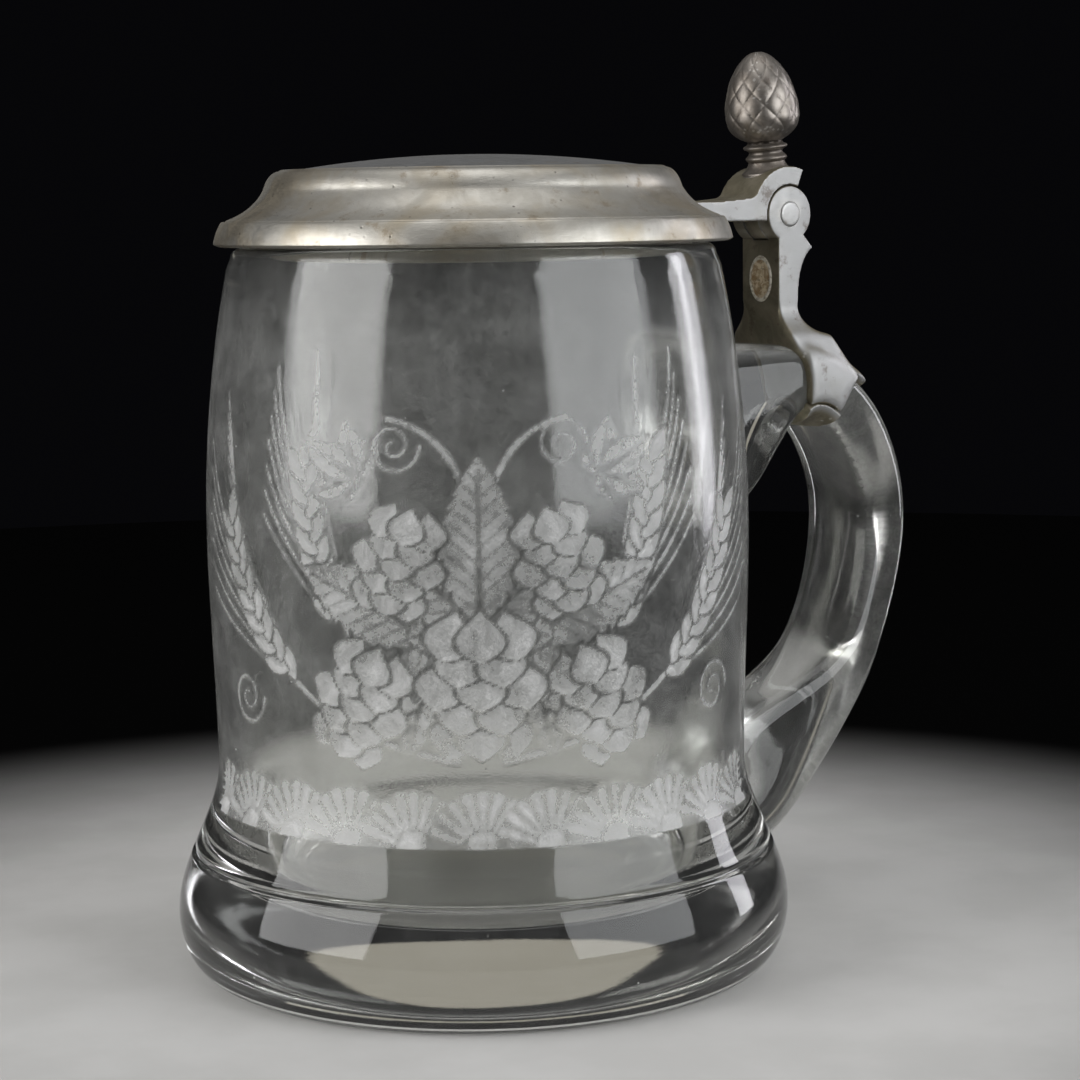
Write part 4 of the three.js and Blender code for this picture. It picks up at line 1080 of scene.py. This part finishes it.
def inlay_look():
    """Worn cream and tan filling inside a pale metal rim."""
    made = Surface("worn_inlay")
    parts = add_node(made.tree, "SeparateXYZ", {"Vector": made.place}).outputs
    across = made.maths("DIVIDE", parts["Y"], OVAL_HALF_WIDTH * MM)
    along = made.maths("SUBTRACT", parts["Z"], OVAL_HEIGHT * MM)
    along = made.maths("DIVIDE", along, OVAL_HALF_HEIGHT * MM)
    square = made.plus(made.times(across, across), made.times(along, along))
    reach = made.maths("SQRT", square, 0.0)
    rim = made.remap(reach, 0.8, 0.86)
    worn = made.patch(2.2, 4.0, 0.42, 0.6, rough=0.65, warp=0.7)
    filling = made.blend(worn, INLAY_TAN, INLAY_CREAM)
    filling = made.blend(made.patch(0.7, 3.0, 0.55, 0.7, 0.0, 0.7), filling, INLAY_DIRT)
    metal = made.blend(made.patch(0.8, 3.0, 0.42, 0.7), INLAY_METAL, INLAY_TARNISH)
    colour = made.blend(rim, filling, metal)
    rough = made.remap(worn, 0.0, 1.0, 0.62, 0.45)
    normal = made.bump(made.noise(0.5, 3.0), 0.4, 0.12)
    metallic = made.times(rim, 0.3)
    return made.close({"Base Color": colour, "Metallic": metallic, "Roughness": rough, "Normal": normal})


def floor_look():
    """A pale matt table top whose colour fades to near black away from the centre: a painted falloff of light
    into the dark of the studio.
    """
    made = Surface("pale_floor_with_painted_falloff")
    away = add_node(made.tree, "VectorMath", {0: made.place}, operation="LENGTH").outputs["Value"]
    # Painted falloff of light: the floor's colour turns near black with distance from the centre
    fade = made.remap(away, PAINTED_FALLOFF_START, PAINTED_FALLOFF_END)
    pale = made.blend(made.patch(30.0, 4.0, 0.35, 0.65), FLOOR_SHADE, FLOOR_LIGHT)
    colour = made.blend(fade, pale, FLOOR_PAINTED_DARK)
    normal = made.bump(made.noise(0.8, 3.0), 0.15, 0.1)
    return made.close({"Color": colour, "Roughness": 0.7, "Normal": normal}, "BsdfDiffuse")


# Stage

LAMP_AIM, FLOOR_DEPTH, FLOOR_DROP = 0.07, 6, 0.0001


def camera():
    ahead = Vector((sin(CAMERA_TURN), cos(CAMERA_TURN), 0))
    heading = ahead * cos(CAMERA_TILT) + Vector((0, 0, -sin(CAMERA_TILT)))
    right = Vector((cos(CAMERA_TURN), -sin(CAMERA_TURN), 0))
    up = right.cross(heading)
    x_axis = right * cos(CAMERA_ROLL) - up * sin(CAMERA_ROLL)
    y_axis = right * sin(CAMERA_ROLL) + up * cos(CAMERA_ROLL)
    lens = bpy.data.cameras.new("camera")
    lens.lens, lens.sensor_width, lens.sensor_fit = CAMERA_LENS, CAMERA_SENSOR, "AUTO"
    lens.clip_start, lens.clip_end = 0.01, 20
    made = bpy.data.objects.new("camera", lens)
    turn = Matrix((x_axis, y_axis, -heading)).transposed().to_4x4()
    made.matrix_world = Matrix.Translation(Vector(CAMERA_PLACE) * MM) @ turn
    scene.collection.objects.link(made)
    scene.camera = made


def softbox(name, turn, distance, height, size, radiance, colour=(1.0, 1.0, 1.0)):
    """A soft lamp at a turn in degrees from the camera's side, in metres, aimed at the object."""
    lamp = bpy.data.lights.new(name, "AREA")
    lamp.shape = "RECTANGLE"
    lamp.size, lamp.size_y = size
    lamp.energy = radiance * pi * size[0] * size[1]
    lamp.color = colour
    made = bpy.data.objects.new(name, lamp)
    angle = FRONT + radians(turn)
    place = Vector((distance * cos(angle), distance * sin(angle), height))
    made.location = place
    made.rotation_euler = (Vector((0, 0, LAMP_AIM)) - place).to_track_quat("-Z", "Y").to_euler()
    made.visible_camera = False
    scene.collection.objects.link(made)


def studio():
    """A dark studio: charcoal near the horizon, soft grey overhead, with an even fill on matt surfaces."""
    world = bpy.data.worlds.new("studio")
    scene.world = world
    world.use_nodes = True
    tree = world.node_tree
    tree.nodes.clear()
    way = add_node(tree, "TexCoord").outputs["Generated"]
    rise = add_node(tree, "SeparateXYZ", {"Vector": way}).outputs["Z"]
    values = {"Value": rise, "From Min": 0.3, "From Max": 0.9}
    share = add_node(tree, "MapRange", values, interpolation_type="SMOOTHSTEP").outputs[0]
    ramp = add_node(tree, "Mix", {"Factor": share}, data_type="RGBA")
    for socket, colour in zip((s for s in ramp.inputs if s.type == "RGBA"), (STUDIO_DARK, STUDIO_GREY)):
        feed(tree, socket, colour)
    overhead = next(s for s in ramp.outputs if s.type == "RGBA")
    seen = add_node(tree, "Background", {"Color": overhead, "Strength": 1.0})
    fill = add_node(tree, "Background", {"Color": STUDIO_GREY, "Strength": 1.0})
    path = add_node(tree, "LightPath").outputs
    both = path["Is Camera Ray"]
    for ray in ("Is Glossy Ray", "Is Transmission Ray"):
        both = add_node(tree, "Math", {0: both, 1: path[ray]}, operation="MAXIMUM").outputs[0]
    shown = add_node(tree, "MixShader", {0: both, 1: fill.outputs[0], 2: seen.outputs[0]})
    add_node(tree, "OutputWorld", {"Surface": shown.outputs[0]})


def floor():
    rings = (60, 120, 200, 320, 480, 700)
    under = [(r, -FLOOR_DEPTH) for r in rings]
    profile = [(0, -FLOOR_DEPTH)] + under + [(r, 0) for r in rings[::-1]] + [(0, 0)]
    made = lathe("floor", profile, 96)
    made.data.materials.append(floor_look())
    smooth_shaded(made, 30)
    made.location.z = -FLOOR_DROP


GLASS = glass_look()
CAST = pewter_look("cast_pewter", (0.61, 0.587, 0.535), (0.46, 0.437, 0.388), (0.28, 0.215, 0.14),
                   rough=0.37, metallic=0.88, tan=0.9)
DOME = pewter_look("dome_pewter", (0.42, 0.42, 0.415), (0.3, 0.3, 0.3), (0.22, 0.19, 0.16),
                   rough=0.42, metallic=0.85, pits=0.6)
BRIGHT = pewter_look("bright_pewter", (0.31, 0.275, 0.2), (0.17, 0.15, 0.1), (0.12, 0.085, 0.055),
                     rough=0.44, metallic=0.6, side_light=(0.43, 0.43, 0.425), pits=0.3, grain=0.35)
DARK = pewter_look("dark_pewter", (0.34, 0.31, 0.28), (0.2, 0.175, 0.15), (0.12, 0.09, 0.07),
                   rough=0.38, metallic=0.85, pits=0.3)
RIVET = pewter_look("rivet_pewter", (0.52, 0.52, 0.515), (0.42, 0.415, 0.4), (0.25, 0.2, 0.15),
                    rough=0.42, metallic=0.8, pits=0.2, grain=0.3)


def place(piece, body, slot, look, *nodes):
    piece.data.materials.clear()
    piece.data.materials.append(look)
    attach(piece, body)
    if nodes:
        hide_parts(*nodes)


place(glass_mug(), "mug", "clear_glass", GLASS, "glass_body", "glass_handle")
place(shank_mount(), "mug", "bright_pewter", BRIGHT, "hinge_shank")
place(strap_band(), "mug", "bright_pewter", BRIGHT, "handle_strap")
place(rivet(), "mug", "bright_pewter", RIVET, "hinge_pin")
place(shank_oval(), "mug", "bright_pewter", inlay_look())
place(lid_ring(), "lid", "cast_pewter", CAST, "lid_shell")
place(lid_plate(), "lid", "cast_pewter", DOME, "lid_dome")
place(lid_arm(), "lid", "bright_pewter", BRIGHT, "lid_tang")
place(cone_lift(), "lid", "dark_pewter", DARK, "thumblift")

camera()
studio()
floor()
softbox("lamp_left", -65, 0.75, 0.28, (0.67, 0.52), 3.9)
softbox("lamp_right", 56, 0.75, 0.28, (0.72, 0.52), 3.1, (0.96, 0.98, 1.0))
softbox("lamp_rim", 110, 0.8, 0.25, (0.15, 0.6), 5.0, (0.95, 0.94, 1.0))
softbox("lamp_top", 0, 0.15, 1.0, (0.8, 0.8), 0.9)
softbox("lamp_back", 180, 1.0, 0.25, (1.0, 0.07), 0.3, (1.0, 0.94, 0.8))

scene.view_settings.view_transform = "Standard"
bpy.context.view_layer.update()
